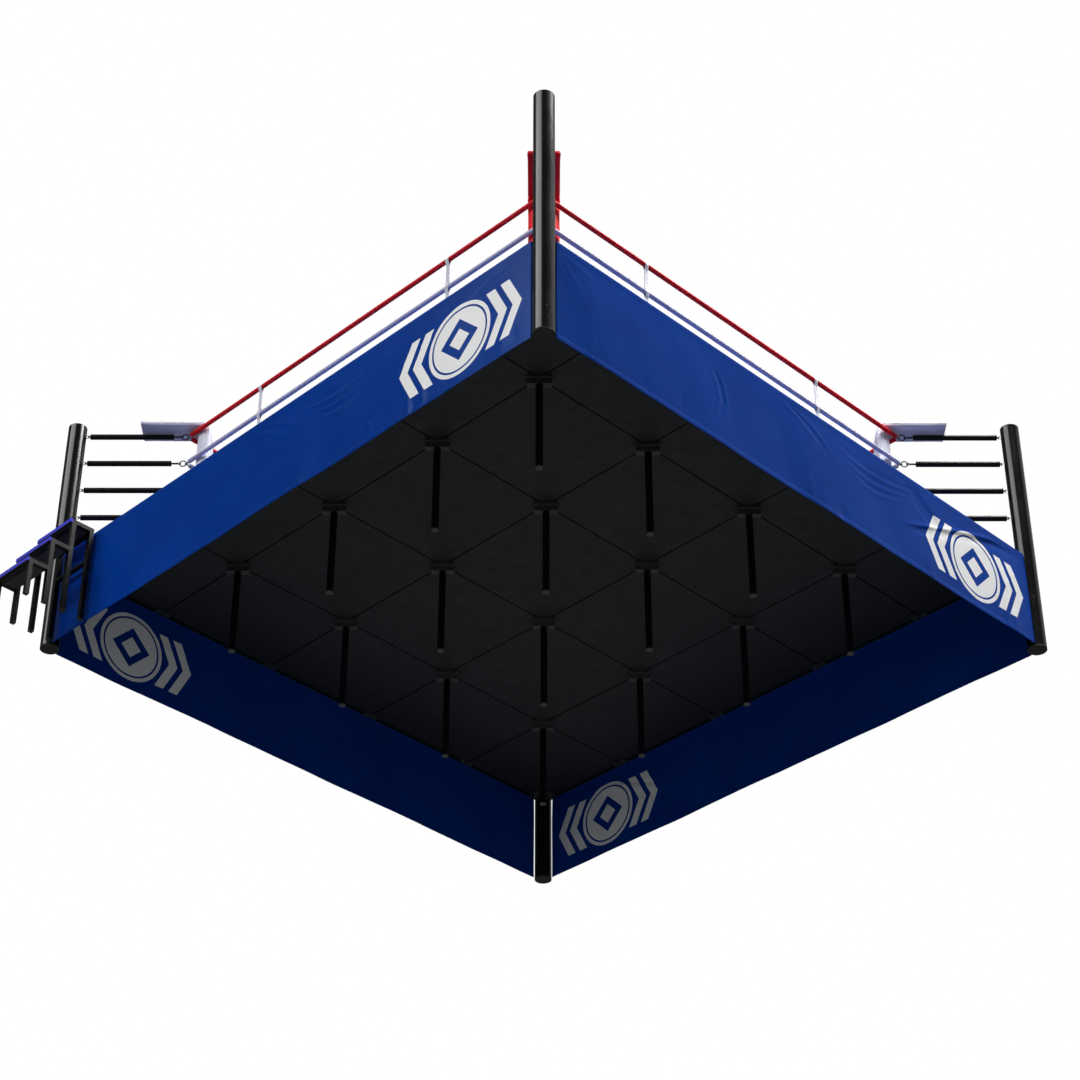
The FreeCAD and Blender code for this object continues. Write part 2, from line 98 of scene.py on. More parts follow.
def unit_rows(rows):
    """Rows scaled to length one."""
    return rows / np.maximum(np.linalg.norm(rows, axis=-1, keepdims=True), 1e-9)


# ------------------------------------------------------------------ finishes
def feed(tree, socket, source):
    """Connect a socket to an output, or set it to a constant."""
    if isinstance(source, bpy.types.NodeSocket):
        tree.links.new(source, socket)
    else:
        socket.default_value = source


def add_node(tree, kind, inputs, output=0, **settings):
    """One output of a new node, with its settings made and its inputs fed."""
    node = tree.nodes.new(kind)
    for key, value in settings.items():
        setattr(node, key, value)
    for socket, source in inputs.items():
        feed(tree, node.inputs[socket], source)
    return node.outputs[output]


class Finish:
    """A procedural material: one Principled shader fed by noise, weave and bump nodes."""

    def __init__(self, name, **fixed):
        self.material = bpy.data.materials.new(name)
        self.material.use_nodes = True
        self.tree = self.material.node_tree
        self.shader = self.tree.nodes["Principled BSDF"]
        self.place = self.node("ShaderNodeTexCoord", {}, "Object")
        self.normal = None
        for socket, value in fixed.items():
            self.set(socket.replace("_", " "), value)

    def node(self, kind, inputs, output=0, **settings):
        return add_node(self.tree, kind, inputs, output, **settings)

    def set(self, socket, source):
        """Feed one socket of the shader."""
        feed(self.tree, self.shader.inputs[socket], source)

    def attribute(self, name):
        return self.node("ShaderNodeAttribute", {}, "Vector", attribute_name=name)

    def stretched(self, source, scale):
        """Coordinates scaled along x, y and z."""
        return self.node("ShaderNodeMapping", {"Vector": source, "Scale": scale})

    def noise(self, scale, detail=2.0, rough=0.5, where=None, warp=0.0):
        inputs = {"Vector": where or self.place, "Scale": scale, "Detail": detail}
        return self.node("ShaderNodeTexNoise", {**inputs, "Roughness": rough, "Distortion": warp}, "Fac")

    def wave(self, scale, direction, where=None):
        inputs = {"Vector": where or self.place, "Scale": scale}
        return self.node("ShaderNodeTexWave", inputs, "Fac", bands_direction=direction)

    def span(self, source, low, high, to_low=0.0, to_high=1.0):
        """Map low..high to to_low..to_high, held at the ends."""
        limits = {"From Min": low, "From Max": high, "To Min": to_low, "To Max": to_high}
        return self.node("ShaderNodeMapRange", {"Value": source, **limits})

    def clouds(self, scale, detail, rough, low=0.0, high=1.0):
        """Soft noise that runs from low to high."""
        return self.span(self.noise(scale, detail, rough), 0.3, 0.7, low, high)

    def calc(self, operation, a, b=0.0):
        return self.node("ShaderNodeMath", {0: a, 1: b}, operation=operation)

    def times(self, a, b):
        return self.calc("MULTIPLY", a, b)

    def gap(self, a, b):
        """Distance between two values."""
        return self.calc("ABSOLUTE", self.calc("SUBTRACT", a, b))

    def radius(self, x, y):
        """Distance of a place from the origin of its plane."""
        return self.calc("SQRT", self.calc("ADD", self.times(x, x), self.times(y, y)))

    def any_of(self, masks):
        """The strongest of several masks."""
        found = masks[0]
        for mask in masks[1:]:
            found = self.calc("MAXIMUM", found, mask)
        return found

    def part(self, source, axis):
        """One coordinate of a place."""
        return self.node("ShaderNodeSeparateXYZ", {0: source}, axis)

    def mix(self, factor, a, b):
        """Blend of two colours."""
        return self.node("ShaderNodeMix", {0: factor, 6: a, 7: b}, 2, data_type="RGBA")

    def colour(self, source):
        self.set("Base Color", source)

    def rough(self, source):
        self.set("Roughness", source)

    def bump(self, height, distance, strength=1.0):
        """Lay one more bump on the ones before it."""
        inputs = {"Distance": distance, "Strength": strength, "Height": height}
        if self.normal is not None:
            inputs["Normal"] = self.normal
        self.normal = self.node("ShaderNodeBump", inputs)
        self.set("Normal", self.normal)


def shaded(colour, share):
    """A colour made lighter or darker."""
    return tuple(c * share for c in colour[:3]) + (1,)


def powder_coat(name, base, worn, gloss, scuff_height=0.0, shine=1.0):
    """Black powder coat: fine orange peel, faint cloudiness, dust and scuffs near the floor."""
    f = Finish(name, Metallic=0.0, Specular_IOR_Level=0.5 * shine)
    marks = f.span(f.times(f.noise(60.0, 3.0, 0.7), f.noise(7.0, 3.0, 0.6)), 0.36, 0.44)
    if scuff_height:
        near_floor = f.span(f.part(f.place, 2), 0.0, scuff_height, 0.8, 0.08)
        marks = f.times(marks, near_floor)
    else:
        marks = f.times(marks, 0.15)
    tone = f.mix(f.clouds(2.2, 4.0, 0.6), base, shaded(base, 1.25))
    f.colour(f.mix(marks, tone, worn))
    f.rough(f.calc("ADD", f.clouds(2.2, 4.0, 0.6, gloss, gloss + 0.08), f.times(marks, 0.35)))
    f.bump(f.noise(420.0, 2.0), 0.00012, 0.25)
    return f


def plated_steel(name, base, gloss, stained=0.35):
    """Zinc plated steel with spangle, streaks and a little staining."""
    f = Finish(name, Metallic=1.0)
    spangle = f.noise(130.0, 3.0, 0.65)
    stain = f.span(f.noise(28.0, 4.0, 0.7), 0.5, 0.75)
    clean = f.mix(spangle, base, shaded(base, 0.8))
    f.colour(f.mix(f.times(stain, stained), clean, shaded(base, 0.45)))
    f.rough(f.span(spangle, 0.3, 0.7, gloss, gloss + 0.18))
    f.bump(spangle, 0.0003, 0.3)
    return f


def vinyl(name, base, shade, gloss=0.36, grain=900.0, creases=9.0, relief=1.0):
    """Synthetic leather: fine pebble grain, soft creases and a slightly uneven gloss."""
    f = Finish(name, Specular_IOR_Level=0.15)
    f.colour(f.mix(f.span(f.noise(3.1, 4.0, 0.55), 0.3, 0.72), base, shade))
    f.rough(f.clouds(14.0, 3.0, 0.6, gloss, gloss + 0.14))
    crease = f.span(f.noise(creases, 5.0, 0.6, warp=1.2), 0.35, 0.65)
    f.bump(crease, 0.0012 * relief, 0.35)
    where = {"Vector": f.place, "Scale": grain}
    cells = f.node("ShaderNodeTexVoronoi", where, "Distance", feature="SMOOTH_F1")
    f.bump(cells, 0.0002 * relief, 0.3)
    return f


def webbing(name, base, shade):
    """Woven webbing: herringbone ribs along the attribute 'flat', soft and matt."""
    f = Finish(name, Sheen_Weight=0.2, Specular_IOR_Level=0.25)
    flat = f.attribute("flat")
    rib = f.wave(330.0, "DIAGONAL", flat)
    cross = f.wave(900.0, "X", flat)
    f.colour(f.mix(f.times(rib, f.noise(11.0, 3.0)), base, shade))
    f.rough(0.75)
    f.bump(f.calc("ADD", rib, cross), 0.0003, 0.5)
    return f


# Print on the skirts: where its middle lies, and its sizes from that middle.
EMBLEM_ALONG, EMBLEM_HEIGHT = 2.14, 0.43
DISC_RADIUS, GROOVE, DIAMOND = 0.335, (0.282, 0.3), (0.105, 0.2)
CHEVRONS, CHEVRON_HALF_HEIGHT, CHEVRON_CLEAR = ((0.42, 0.515), (0.575, 0.67)), 0.27, 0.365
PRINT_EDGE = 0.0015


def emblem_mask(f, flat):
    """Generic print: a disc with a hollow diamond in it, between pairs of chevrons."""
    x = f.calc("SUBTRACT", f.part(flat, 0), EMBLEM_ALONG)
    y = f.calc("SUBTRACT", f.part(flat, 1), EMBLEM_HEIGHT)

    def beyond(value, limit):
        return f.span(value, limit - PRINT_EDGE, limit + PRINT_EDGE)

    def short_of(value, limit):
        return f.span(value, limit + PRINT_EDGE, limit - PRINT_EDGE)

    def within(value, low, high):
        return f.times(beyond(value, low), short_of(value, high))

    radius = f.radius(x, y)
    aside, upward = f.calc("ABSOLUTE", x), f.calc("ABSOLUTE", y)
    cut_out = f.any_of([within(f.calc("ADD", aside, upward), *DIAMOND), within(radius, *GROOVE)])
    badge = f.times(short_of(radius, DISC_RADIUS), f.calc("SUBTRACT", 1.0, cut_out))
    reach = f.calc("ADD", aside, f.times(upward, 0.5))
    chevrons = f.any_of([within(reach, *limits) for limits in CHEVRONS])
    chevrons = f.times(chevrons, short_of(upward, CHEVRON_HALF_HEIGHT))
    chevrons = f.times(chevrons, beyond(radius, CHEVRON_CLEAR))
    return f.any_of([badge, chevrons])


def lines_mask(f, value, places, half, edge):
    """Mask of lines of the given half width at several places along a value."""
    return f.any_of([f.span(f.gap(value, place), half, edge, 1.0, 0.0) for place in places])


STITCH_PITCH = 0.009


def stitched(f, flat, axis, places):
    """Mask of dashed sewing lines at the given places along one axis of 'flat'."""
    line = f.part(flat, axis)
    well_past_zero = f.calc("ADD", f.part(flat, 1 - axis), 10.0)
    dash = f.span(f.calc("MODULO", well_past_zero, STITCH_PITCH), 0.0055, 0.0059, 1.0, 0.0)
    return f.times(lines_mask(f, line, places, 0.0007, 0.0011), dash)


def skirt_cloth():
    """Coated polyester with a printed emblem, hems and sewing."""
    f = Finish("skirt_cloth")
    flat = f.attribute("flat")
    blue, deep = (0.002, 0.048, 0.33, 1), (0.001, 0.035, 0.26, 1)
    cloth = f.mix(f.clouds(1.3, 4.0, 0.6), blue, deep)
    worn = f.span(f.noise(17.0, 5.0, 0.72), 0.56, 0.8, 0.0, 0.16)
    cloth = f.mix(worn, cloth, (0.008, 0.09, 0.36, 1))
    hem = f.span(f.part(flat, 1), 0.044, 0.047, 0.35, 0.0)
    cloth = f.mix(hem, cloth, deep)
    cloth = f.mix(stitched(f, flat, 1, (0.043, 0.9, 0.93)), cloth, (0.01, 0.06, 0.4, 1))
    emblem = emblem_mask(f, flat)
    ink = f.mix(f.noise(9.0, 3.0), (0.97, 0.975, 0.98, 1), (0.93, 0.935, 0.94, 1))
    f.colour(f.mix(emblem, cloth, ink))
    f.rough(f.calc("ADD", f.clouds(5.0, 3.0, 0.6, 0.13, 0.18), f.times(emblem, 0.22)))
    f.set("Specular IOR Level", f.span(emblem, 0, 1, 0.05, 0.6))
    f.set("Specular Tint", f.mix(emblem, (0.3, 0.9, 1, 1), (1, 1, 1, 1)))
    f.bump(emblem, 0.0012, 0.6)
    f.bump(f.noise(3.2, 5.0, 0.5, warp=0.8), 0.02, 0.12)
    weave = f.calc("ADD", f.wave(260.0, "X", flat), f.wave(260.0, "Y", flat))
    f.bump(weave, 0.0003, 0.25)
    return f


CANVAS_SEAMS = [RX + s for s in (-1.5, 0.0, 1.5)]


def ring_canvas():
    """Woven blue canvas with strip seams, scuffs and rosin dust."""
    f = Finish("ring_canvas", Specular_IOR_Level=0.15, Sheen_Weight=0.03)
    tone = f.mix(f.clouds(1.1, 5.0, 0.6), (0.012, 0.034, 0.18, 1), (0.016, 0.042, 0.22, 1))
    scuffs = f.span(f.noise(6.0, 6.0, 0.75, warp=1.6), 0.56, 0.7, 0.0, 0.35)
    tone = f.mix(scuffs, tone, (0.04, 0.09, 0.28, 1))
    dust = f.span(f.noise(0.7, 3.0, 0.5), 0.45, 0.75, 0.0, 0.3)
    tone = f.mix(dust, tone, (0.07, 0.11, 0.26, 1))
    sewing = stitched(f, f.place, 0, [seam + aside for seam in CANVAS_SEAMS for aside in (-0.01, 0.01)])
    f.colour(f.mix(sewing, tone, (0.2, 0.3, 0.6, 1)))
    f.rough(f.clouds(20.0, 3.0, 0.5, 0.72, 0.88))
    f.bump(lines_mask(f, f.part(f.place, 0), CANVAS_SEAMS, 0.014, 0.016), 0.0008, 0.8)
    f.bump(f.calc("ADD", f.wave(240.0, "X"), f.wave(240.0, "Y")), 0.0004, 0.4)
    return f


DECK_SEAMS_X = [RX + s for s in (-1.875, -0.611, 0.646, 1.914)]
DECK_SEAMS_Y = [RY + s for s in (-1.825, -0.64, 0.64, 1.917)]


def deck_board():
    """Film faced plywood: dark film with a fine wire pattern, scratches and water marks."""
    f = Finish("deck_film", Specular_IOR_Level=0.35)
    tone = f.mix(f.clouds(1.6, 5.0, 0.6), (0.012, 0.0145, 0.017, 1), (0.017, 0.02, 0.023, 1))
    streak = f.span(f.noise(2.0, 6.0, 0.7, where=f.stretched(f.place, (1, 14, 1))), 0.52, 0.78, 0.0, 0.5)
    tone = f.mix(streak, tone, (0.025, 0.028, 0.03, 1))
    seams = enumerate((DECK_SEAMS_X, DECK_SEAMS_Y))
    joints = [lines_mask(f, f.part(f.place, axis), places, 0.008, 0.011) for axis, places in seams]
    f.colour(f.mix(f.any_of(joints), tone, (0.002, 0.002, 0.002, 1)))
    f.rough(f.clouds(8.0, 4.0, 0.6, 0.5, 0.68))
    grid = f.times(f.wave(70.0, "X"), f.wave(70.0, "Y"))
    f.bump(grid, 0.0006, 0.5)
    f.bump(streak, 0.0008, 0.2)
    return f


def carpet_board():
    """Steps tread: bright blue carpet on top and edges, black board underneath."""
    f = Finish("tread_carpet", Sheen_Weight=0.3, Specular_IOR_Level=0.25)
    normal = f.node("ShaderNodeTexCoord", {}, "Normal")
    under = f.span(f.part(normal, 2), -0.6, -0.4, 1.0, 0.0)
    pile = f.noise(520.0, 4.0, 0.8)
    blue = f.mix(f.span(pile, 0.3, 0.7), (0.012, 0.014, 0.5, 1), (0.022, 0.03, 0.66, 1))
    trodden = f.span(f.noise(5.0, 4.0, 0.6), 0.5, 0.75, 0.0, 0.35)
    blue = f.mix(trodden, blue, (0.03, 0.05, 0.42, 1))
    f.colour(f.mix(under, blue, (0.012, 0.012, 0.013, 1)))
    f.rough(f.span(under, 0, 1, 0.85, 0.5))
    f.bump(pile, 0.0015, 0.7)
    return f


def moulded(name, base, shade, gloss):
    """Moulded rubber, plastic or foam: faint mottling and a fine grain."""
    f = Finish(name)
    f.colour(f.mix(f.clouds(40.0, 4.0, 0.6), base, shade))
    f.rough(f.clouds(90.0, 3.0, 0.5, gloss, gloss + 0.15))
    f.bump(f.noise(700.0, 2.0), 0.0002, 0.4)
    return f


POST_PAINT = powder_coat("post_paint", (0.003, 0.003, 0.0032, 1), (0.04, 0.04, 0.04, 1), 0.16, 0.9, 0.8)
FRAME_PAINT = powder_coat("frame_paint", (0.006, 0.0062, 0.0065, 1), (0.03, 0.03, 0.03, 1), 0.28, 0.5, 0.25)
BRACKET_PAINT = powder_coat("bracket_paint", (0.022, 0.024, 0.026, 1), (0.1, 0.1, 0.1, 1), 0.42)
BAR_PAINT = powder_coat("bar_paint", (0.004, 0.004, 0.004, 1), (0.05, 0.05, 0.05, 1), 0.3, 0.0, 0.3)
ZINC = plated_steel("zinc", (0.55, 0.56, 0.58, 1), 0.3)
BARREL_STEEL = plated_steel("barrel_steel", (0.5, 0.5, 0.52, 1), 0.26, 0.6)
RUBBER = moulded("rubber", (0.012, 0.012, 0.012, 1), (0.02, 0.02, 0.02, 1), 0.75)
FOOT_CAP = moulded("foot_cap", (0.06, 0.061, 0.064, 1), (0.045, 0.046, 0.048, 1), 0.5)
HEAD_BOARD = moulded("head_board", (0.05, 0.051, 0.054, 1), (0.04, 0.041, 0.044, 1), 0.5)
FOAM = moulded("foam_cells", (0.02, 0.021, 0.023, 1), (0.03, 0.031, 0.034, 1), 0.8)
DECK = deck_board()
TREAD = carpet_board()
SKIRT = skirt_cloth()
CANVAS = ring_canvas()
WEBBING = webbing("white_webbing", (0.72, 0.73, 0.8, 1), (0.6, 0.61, 0.7, 1))
SLEEVE = vinyl("sleeve_vinyl", (0.005, 0.005, 0.0055, 1), (0.008, 0.008, 0.0085, 1), 0.34)
ROPE = {
    "red": vinyl("rope_red_vinyl", (0.74, 0.012, 0.022, 1), (0.66, 0.01, 0.018, 1), 0.33, relief=0.2),
    # Both colours of the white rope are tinted lilac: painted blue bounce light from the canvas on white
    # vinyl.
    "white": vinyl("rope_white_vinyl_painted_blue_bounce", (0.62, 0.62, 0.8, 1), (0.54, 0.54, 0.74, 1), 0.33, relief=0.2),
    "blue": vinyl("rope_blue_vinyl", (0.01, 0.05, 0.36, 1), (0.008, 0.04, 0.3, 1), 0.33, relief=0.2),
}
PAD = {
    "red": vinyl("pad_red_leather", (0.85, 0.012, 0.024, 1), (0.76, 0.01, 0.02, 1), 0.38, 420.0, 5.0),
    "blue": vinyl("pad_blue_leather", (0.01, 0.05, 0.38, 1), (0.008, 0.04, 0.32, 1), 0.38, 420.0, 5.0),
    # Both colours of the white pad carry a faint blue tint: painted blue bounce light from the canvas on
    # white leather.
    "white": vinyl("pad_white_leather_painted_blue_bounce", (0.74, 0.74, 0.82, 1), (0.66, 0.66, 0.76, 1), 0.38, 420.0, 5.0),
}

HARD = {
    POST_PAINT: ["post_red", "post_white_east", "post_blue", "post_white_west", "post_caps"],
    RUBBER: ["post_feet", "steps_feet"],
    FOOT_CAP: ["leg_feet"],
    DECK: ["deck_row_%d" % row for row in range(1, 6)],
    BRACKET_PAINT: ["corner_brackets", "edge_brackets"],
    HEAD_BOARD: ["leg_heads", "head_plates"],
    FRAME_PAINT: ["edge_rails", "legs", "steps_side_frames", "steps_cross_bars"],
    ZINC: ["bracket_bolts", "post_loops", "rope_cores"],
    BAR_PAINT: ["corner_rings", "turnbuckle_screws"],
    BARREL_STEEL: ["barrel_%s_%d" % (c, k) for c in CORNERS for k in range(1, 5)],
    TREAD: ["steps_treads"],
}
for finish, names in HARD.items():
    for name in names:
        for slot in NODES[name].material_slots:
            slot.link = "OBJECT"
            slot.material = finish.material


# ------------------------------------------------------------------ mesh helpers
def piece(name, points, faces, finish, flat, sharp=None):
    """A mesh piece in the frame's own metres, riding on the ring. 'flat' is its unrolled place."""
    mesh = bpy.data.meshes.new(name)
    mesh.from_pydata([tuple(p) for p in points], [], faces)
    mesh.materials.append(finish.material)
    mesh.polygons.foreach_set("use_smooth", [True] * len(mesh.polygons))
    layer = mesh.attributes.new("flat", "FLOAT_VECTOR", "POINT")
    layer.data.foreach_set("vector", np.asarray(flat, np.float32).ravel())
    mesh.validate()
    mesh.update()
    if sharp:
        mesh.set_sharp_from_angle(angle=math.radians(sharp))
    made = place_in_scene(name, mesh)
    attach(made, "ring")
    return made


def tube_faces(rings, around, closed):
    """Quads between neighbouring rings of points, and from the last ring to the first if closed."""
    faces = []
    for i in range(rings if closed else rings - 1):
        a, b = i * around, ((i + 1) % rings) * around
        for j in range(around):
            k = (j + 1) % around
            faces.append((a + j, a + k, b + k, b + j))
    return faces


class Build:
    """Gathers points and faces of several solids into one mesh."""

    def __init__(self):
        self.points, self.faces, self.flat = [], [], []

    def add(self, points, faces, flat=None):
        start = len(self.points)
        points = np.asarray(points, float).reshape(-1, 3)
        self.points.extend(points.tolist())
        self.faces.extend([tuple(start + i for i in f) for f in faces])
        flat = points if flat is None else np.asarray(flat, float).reshape(-1, 3)
        self.flat.extend(flat.tolist())

    def sweep(self, section, path, side, rise, closed=False, scale=None):
        """Sweep a closed section along a path; side and rise are its two axes at each point."""
        section, path = np.asarray(section, float), np.asarray(path, float)
        side = np.broadcast_to(np.asarray(side, float), path.shape)
        rise = np.broadcast_to(np.asarray(rise, float), path.shape)
        scale = np.ones(len(path)) if scale is None else np.asarray(scale, float)
        m, n = len(section), len(path)
        sideways = section[None, :, 0, None] * side[:, None, :]
        upward = section[None, :, 1, None] * rise[:, None, :]
        points = path[:, None, :] + (sideways + upward) * scale[:, None, None]
        run = np.concatenate([[0], np.cumsum(np.linalg.norm(np.diff(path, axis=0), axis=1))])
        girth = np.concatenate([[0], np.cumsum(np.linalg.norm(np.diff(section, axis=0), axis=1))])
        flat = np.zeros((n, m, 3))
        flat[..., 0], flat[..., 1] = run[:, None], girth[None, :]
        faces = tube_faces(n, m, closed)
        if not closed:
            faces.append(tuple(reversed(range(m))))
            faces.append(tuple((n - 1) * m + j for j in range(m)))
        self.add(points, faces, flat)

    def finish(self, name, finish, slot, sharp=None):
        """Make the mesh piece, with its faces turned outward."""
        made = piece(name, self.points, self.faces, finish, self.flat, sharp)
        tidy = bmesh.new()
        tidy.from_mesh(made.data)
        bmesh.ops.recalc_face_normals(tidy, faces=tidy.faces)
        tidy.to_mesh(made.data)
        tidy.free()
        return made


def circle(radius, count, start=0.0):
    angles = start + turn_angles(count)
    return np.stack([radius * np.cos(angles), radius * np.sin(angles)], 1)


def slab_section(width, thick):
    """Rounded flat section of a strap, width by thick."""
    half, r, steps = width / 2, thick / 2, 6
    out = []
    for centre, first in ((half - r, -math.pi / 2), (-half + r, math.pi / 2)):
        for i in range(steps + 1):
            a = first + math.pi * i / steps
            out.append((centre + r * math.cos(a), r * math.sin(a)))
    return out


def corner_frame(name):
    """Post axis, inward direction and the direction across it."""
    sx, sy = CORNERS[name]
    post = np.array([RX + sx * POST_HALF, RY + sy * POST_HALF, 0.0])
    inward = np.array([-sx, -sy, 0.0]) / math.sqrt(2)
    return post, inward, np.cross(UP, inward)


def side_frame(name):
    """Ring centre, outward direction and rightward direction of a side."""
    (ox, oy), (ax, ay) = SIDES[name]
    return np.array([RX, RY, 0.0]), np.array([ox, oy, 0.0]), np.array([ax, ay, 0.0])


def smooth(x, low, high):
    """0 below low, 1 above high, with a soft step between."""
    t = np.clip((x - low) / (high - low), 0, 1)
    return t * t * (3 - 2 * t)


def rope_z(level, side):
    """Height of a rope; the ropes of neighbouring sides cross a little above each other."""
    lift = ROPE_CROSS if side in ("west", "east") else -ROPE_CROSS
    return ROPE_LOWEST + level * ROPE_PITCH + lift


# ------------------------------------------------------------------ skirts
SKIRT_HALF, SKIRT_LOW, SKIRT_HIGH = 2.908, 0.006, 0.936
SKIRT_LINE, SKIRT_THICK = 3.0362, 0.0018
HEM, BAND = 0.045, 0.888
# Seed of each side's random folds, strength of its hanging folds and strength of its creases.
SKIRT_FOLDS = {
    "west": (17, 1.0, 0.25),
    "south": (34, 0.55, 1.0),
    "east": (51, 0.6, 0.7),
    "north": (68, 0.8, 0.35),
}
# Shallow waves of the loose cloth: (length, height).
SKIRT_WAVES = (2.3, 0.0045), (1.3, 0.003), (0.62, 0.0014)
# The long crease that rises towards the right, as (along, height) from the skirt's middle.
LONG_CREASE = [(1.08, 0.3), (1.16, 0.4), (1.5, 0.53), (2.0, 0.72), (2.45, 0.86), (2.85, 0.9)]
CORNER_PULL = 0.42


def ridge(s, z, line, height, width):
    """A soft fold along a line of points (s, z), fading at both ends."""
    best = np.full(s.shape, 1e9)
    place = np.zeros(s.shape)
    line = np.asarray(line, float)
    lengths = np.linalg.norm(np.diff(line, axis=0), axis=1)
    starts = np.concatenate([[0], np.cumsum(lengths)])
    for (a, b), start, length in zip(zip(line[:-1], line[1:]), starts, lengths):
        d = (b - a) / length
        t = np.clip((s - a[0]) * d[0] + (z - a[1]) * d[1], 0, length)
        gap = np.hypot(s - a[0] - d[0] * t, z - a[1] - d[1] * t)
        nearer = gap < best
        best = np.where(nearer, gap, best)
        place = np.where(nearer, start + t, place)
    total = starts[-1]
    fade = smooth(place, 0, total * 0.3) * (1 - smooth(place, total * 0.75, total))
    return height * np.exp(-((best / width) ** 2)) * fade


def arc(start, low, end):
    """Points of a shallow hanging curve through three points."""
    t = np.linspace(0, 1, 14)[:, None]
    start, low, end = (np.asarray(p, float) for p in (start, low, end))
    mid = 2 * low - (start + end) / 2
    return (1 - t) ** 2 * start + 2 * t * (1 - t) * mid + t * t * end


def shifted(line, along, up=0.0):
    """The same line moved along and up."""
    return [(s + along, z + up) for s, z in line]


def hanging_folds(s, z, swag):
    """Folds that hang in nested curves below the top edge."""
    out = np.zeros(s.shape)
    for k in range(6):
        drop = 0.035 * k
        ends = (0.15 + 0.06 * k, 0.86 - drop), (1.62 - 0.05 * k, 0.9 - drop)
        line = arc(ends[0], (0.78, 0.735 - 1.25 * drop), ends[1])
        out += swag * (1 if k % 2 else -0.7) * ridge(s, z, line, 0.0035, 0.022)
    return out


def creases(s, z, crease):
    """Sharper creases, as the photograph's right-hand skirt has them."""
    out = crease * ridge(s, z, LONG_CREASE, 0.007, 0.016)
    out -= crease * ridge(s, z, shifted(LONG_CREASE, 0.02, -0.045), 0.006, 0.03)
    out += crease * ridge(s, z, [(1.3, 0.86), (1.45, 0.7), (1.72, 0.56)], -0.008, 0.06)
    for shift in (0.0, 0.05, -0.045):
        line = shifted([(-1.2, 0.76), (-1.1, 0.6), (-1.06, 0.42), (-1.14, 0.24)], shift)
        out += crease * ridge(s, z, line, 0.003 if shift else -0.0035, 0.016)
        line = shifted([(-0.32, 0.88), (-0.02, 0.76), (0.2, 0.6)], shift * 2)
        out += 0.7 * ridge(s, z, line, 0.003 if shift else -0.003, 0.02)
    return out


def corner_pulls(s, z, draws):
    """Pulls that run down and inward from the tied top corners."""
    out = np.zeros(s.shape)
    for end in (-1, 1):
        for _ in range(4):
            slope = draws.uniform(0.2, 1.5)
            top = np.array([end * (SKIRT_HALF - 0.01), 0.87])
            tail = top - np.array([end * CORNER_PULL, CORNER_PULL * slope])
            line = [tail, (tail + top) / 2, top - (end * 0.03, 0.02)]
            out += ridge(s, z, line, draws.uniform(-0.003, 0.0035), 0.018)
    return out


def hem_puckers(s, z, draws):
    """Short folds that rise from the free bottom hem."""
    out = np.zeros(s.shape)
    for _ in range(26):
        at = draws.uniform(-2.8, 2.8)
        tall, lean = draws.uniform(0.08, 0.3), draws.uniform(-0.35, 0.35)
        line = [(at, 0.0), (at + lean * tall * 0.5, tall * 0.55), (at + lean * tall, tall)]
        out += ridge(s, z, line, draws.uniform(-0.0025, 0.003), draws.uniform(0.02, 0.05))
    return out


def skirt_bulge(name, s, z):
    """How far the cloth stands out from its flat line."""
    seed, swag, crease = SKIRT_FOLDS[name]
    draws = np.random.RandomState(seed)
    out = np.zeros(s.shape)
    loose = 1 - smooth(z, 0.55, 0.9)
    for length, height in SKIRT_WAVES:
        phase, slant = draws.uniform(0, 2 * math.pi), draws.uniform(-0.5, 0.5)
        out += height * loose * np.sin(2 * math.pi * (s + slant * z) / length + phase)
    out += hanging_folds(s, z, swag) + creases(s, z, crease)
    out += corner_pulls(s, z, draws)
    out += hem_puckers(s, z, draws)
    pinned = 1 - smooth(z, 0.84, 0.885)
    return np.maximum(out, -0.006) * pinned + 0.0008


def skirt_grid():
    """Places along and up one skirt, with closer rows at its hem and its top band."""
    step, end = 0.0145, SKIRT_HALF - 0.0015
    s_places = np.linspace(-SKIRT_HALF, SKIRT_HALF, int(2 * SKIRT_HALF / step))
    s_places = np.concatenate([[-end], s_places[1:-1], [end]])
    z_places = np.concatenate([
        [SKIRT_LOW, SKIRT_LOW + 0.002],
        np.linspace(0.014, HEM - 0.001, 4),
        np.linspace(HEM + 0.001, BAND - 0.001, 58),
        np.linspace(BAND + 0.001, SKIRT_HIGH - 0.002, 5),
        [SKIRT_HIGH],
    ])
    return np.meshgrid(s_places, z_places)


def sheet_faces(rows, columns, left_out=lambda i, j: False):
    """Both faces and the rim of a sheet on a grid, whose under points follow its upper ones."""
    under = rows * columns
    index = np.arange(under).reshape(rows, columns)
    faces, rim = [], {}
    for i in range(rows - 1):
        for j in range(columns - 1):
            if left_out(i, j):
                continue
            quad = (index[i, j], index[i + 1, j], index[i + 1, j + 1], index[i, j + 1])
            faces.append(quad)
            faces.append(tuple(v + under for v in reversed(quad)))
            for a, b in zip(quad, quad[1:] + quad[:1]):
                rim[(a, b)] = (b, a) not in rim
                if (b, a) in rim:
                    rim[(b, a)] = False
    for (a, b), open_edge in rim.items():
        if open_edge:
            faces.append((b, a, a + under, b + under))
    return faces


def skirt(name):
    """One skirt, hung flat from the edge of the deck."""
    centre, outward, right = side_frame(name)
    s, z = skirt_grid()
    bulge = skirt_bulge(name, s, z)
    half = np.full(s.shape, SKIRT_THICK / 2)
    half[z < HEM] += 0.0006
    half[z > BAND] += 0.0003
    half[[0, -1]] *= 0.4
    at = centre + right * s[..., None] + UP * z[..., None]
    out = at + outward * (SKIRT_LINE + bulge + half)[..., None]
    inn = at + outward * (SKIRT_LINE + bulge - half)[..., None]
    flat = np.stack([s, z, np.zeros_like(s)], -1).reshape(-1, 3)
    build = Build()
    points = np.concatenate([out.reshape(-1, 3), inn.reshape(-1, 3)])
    build.add(points, sheet_faces(*s.shape), np.concatenate([flat, flat]))
    made = build.finish("cloth_skirt_" + name, SKIRT, "skirt_blue")
    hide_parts("skirt_" + name)


for side in SIDES:
    skirt(side)


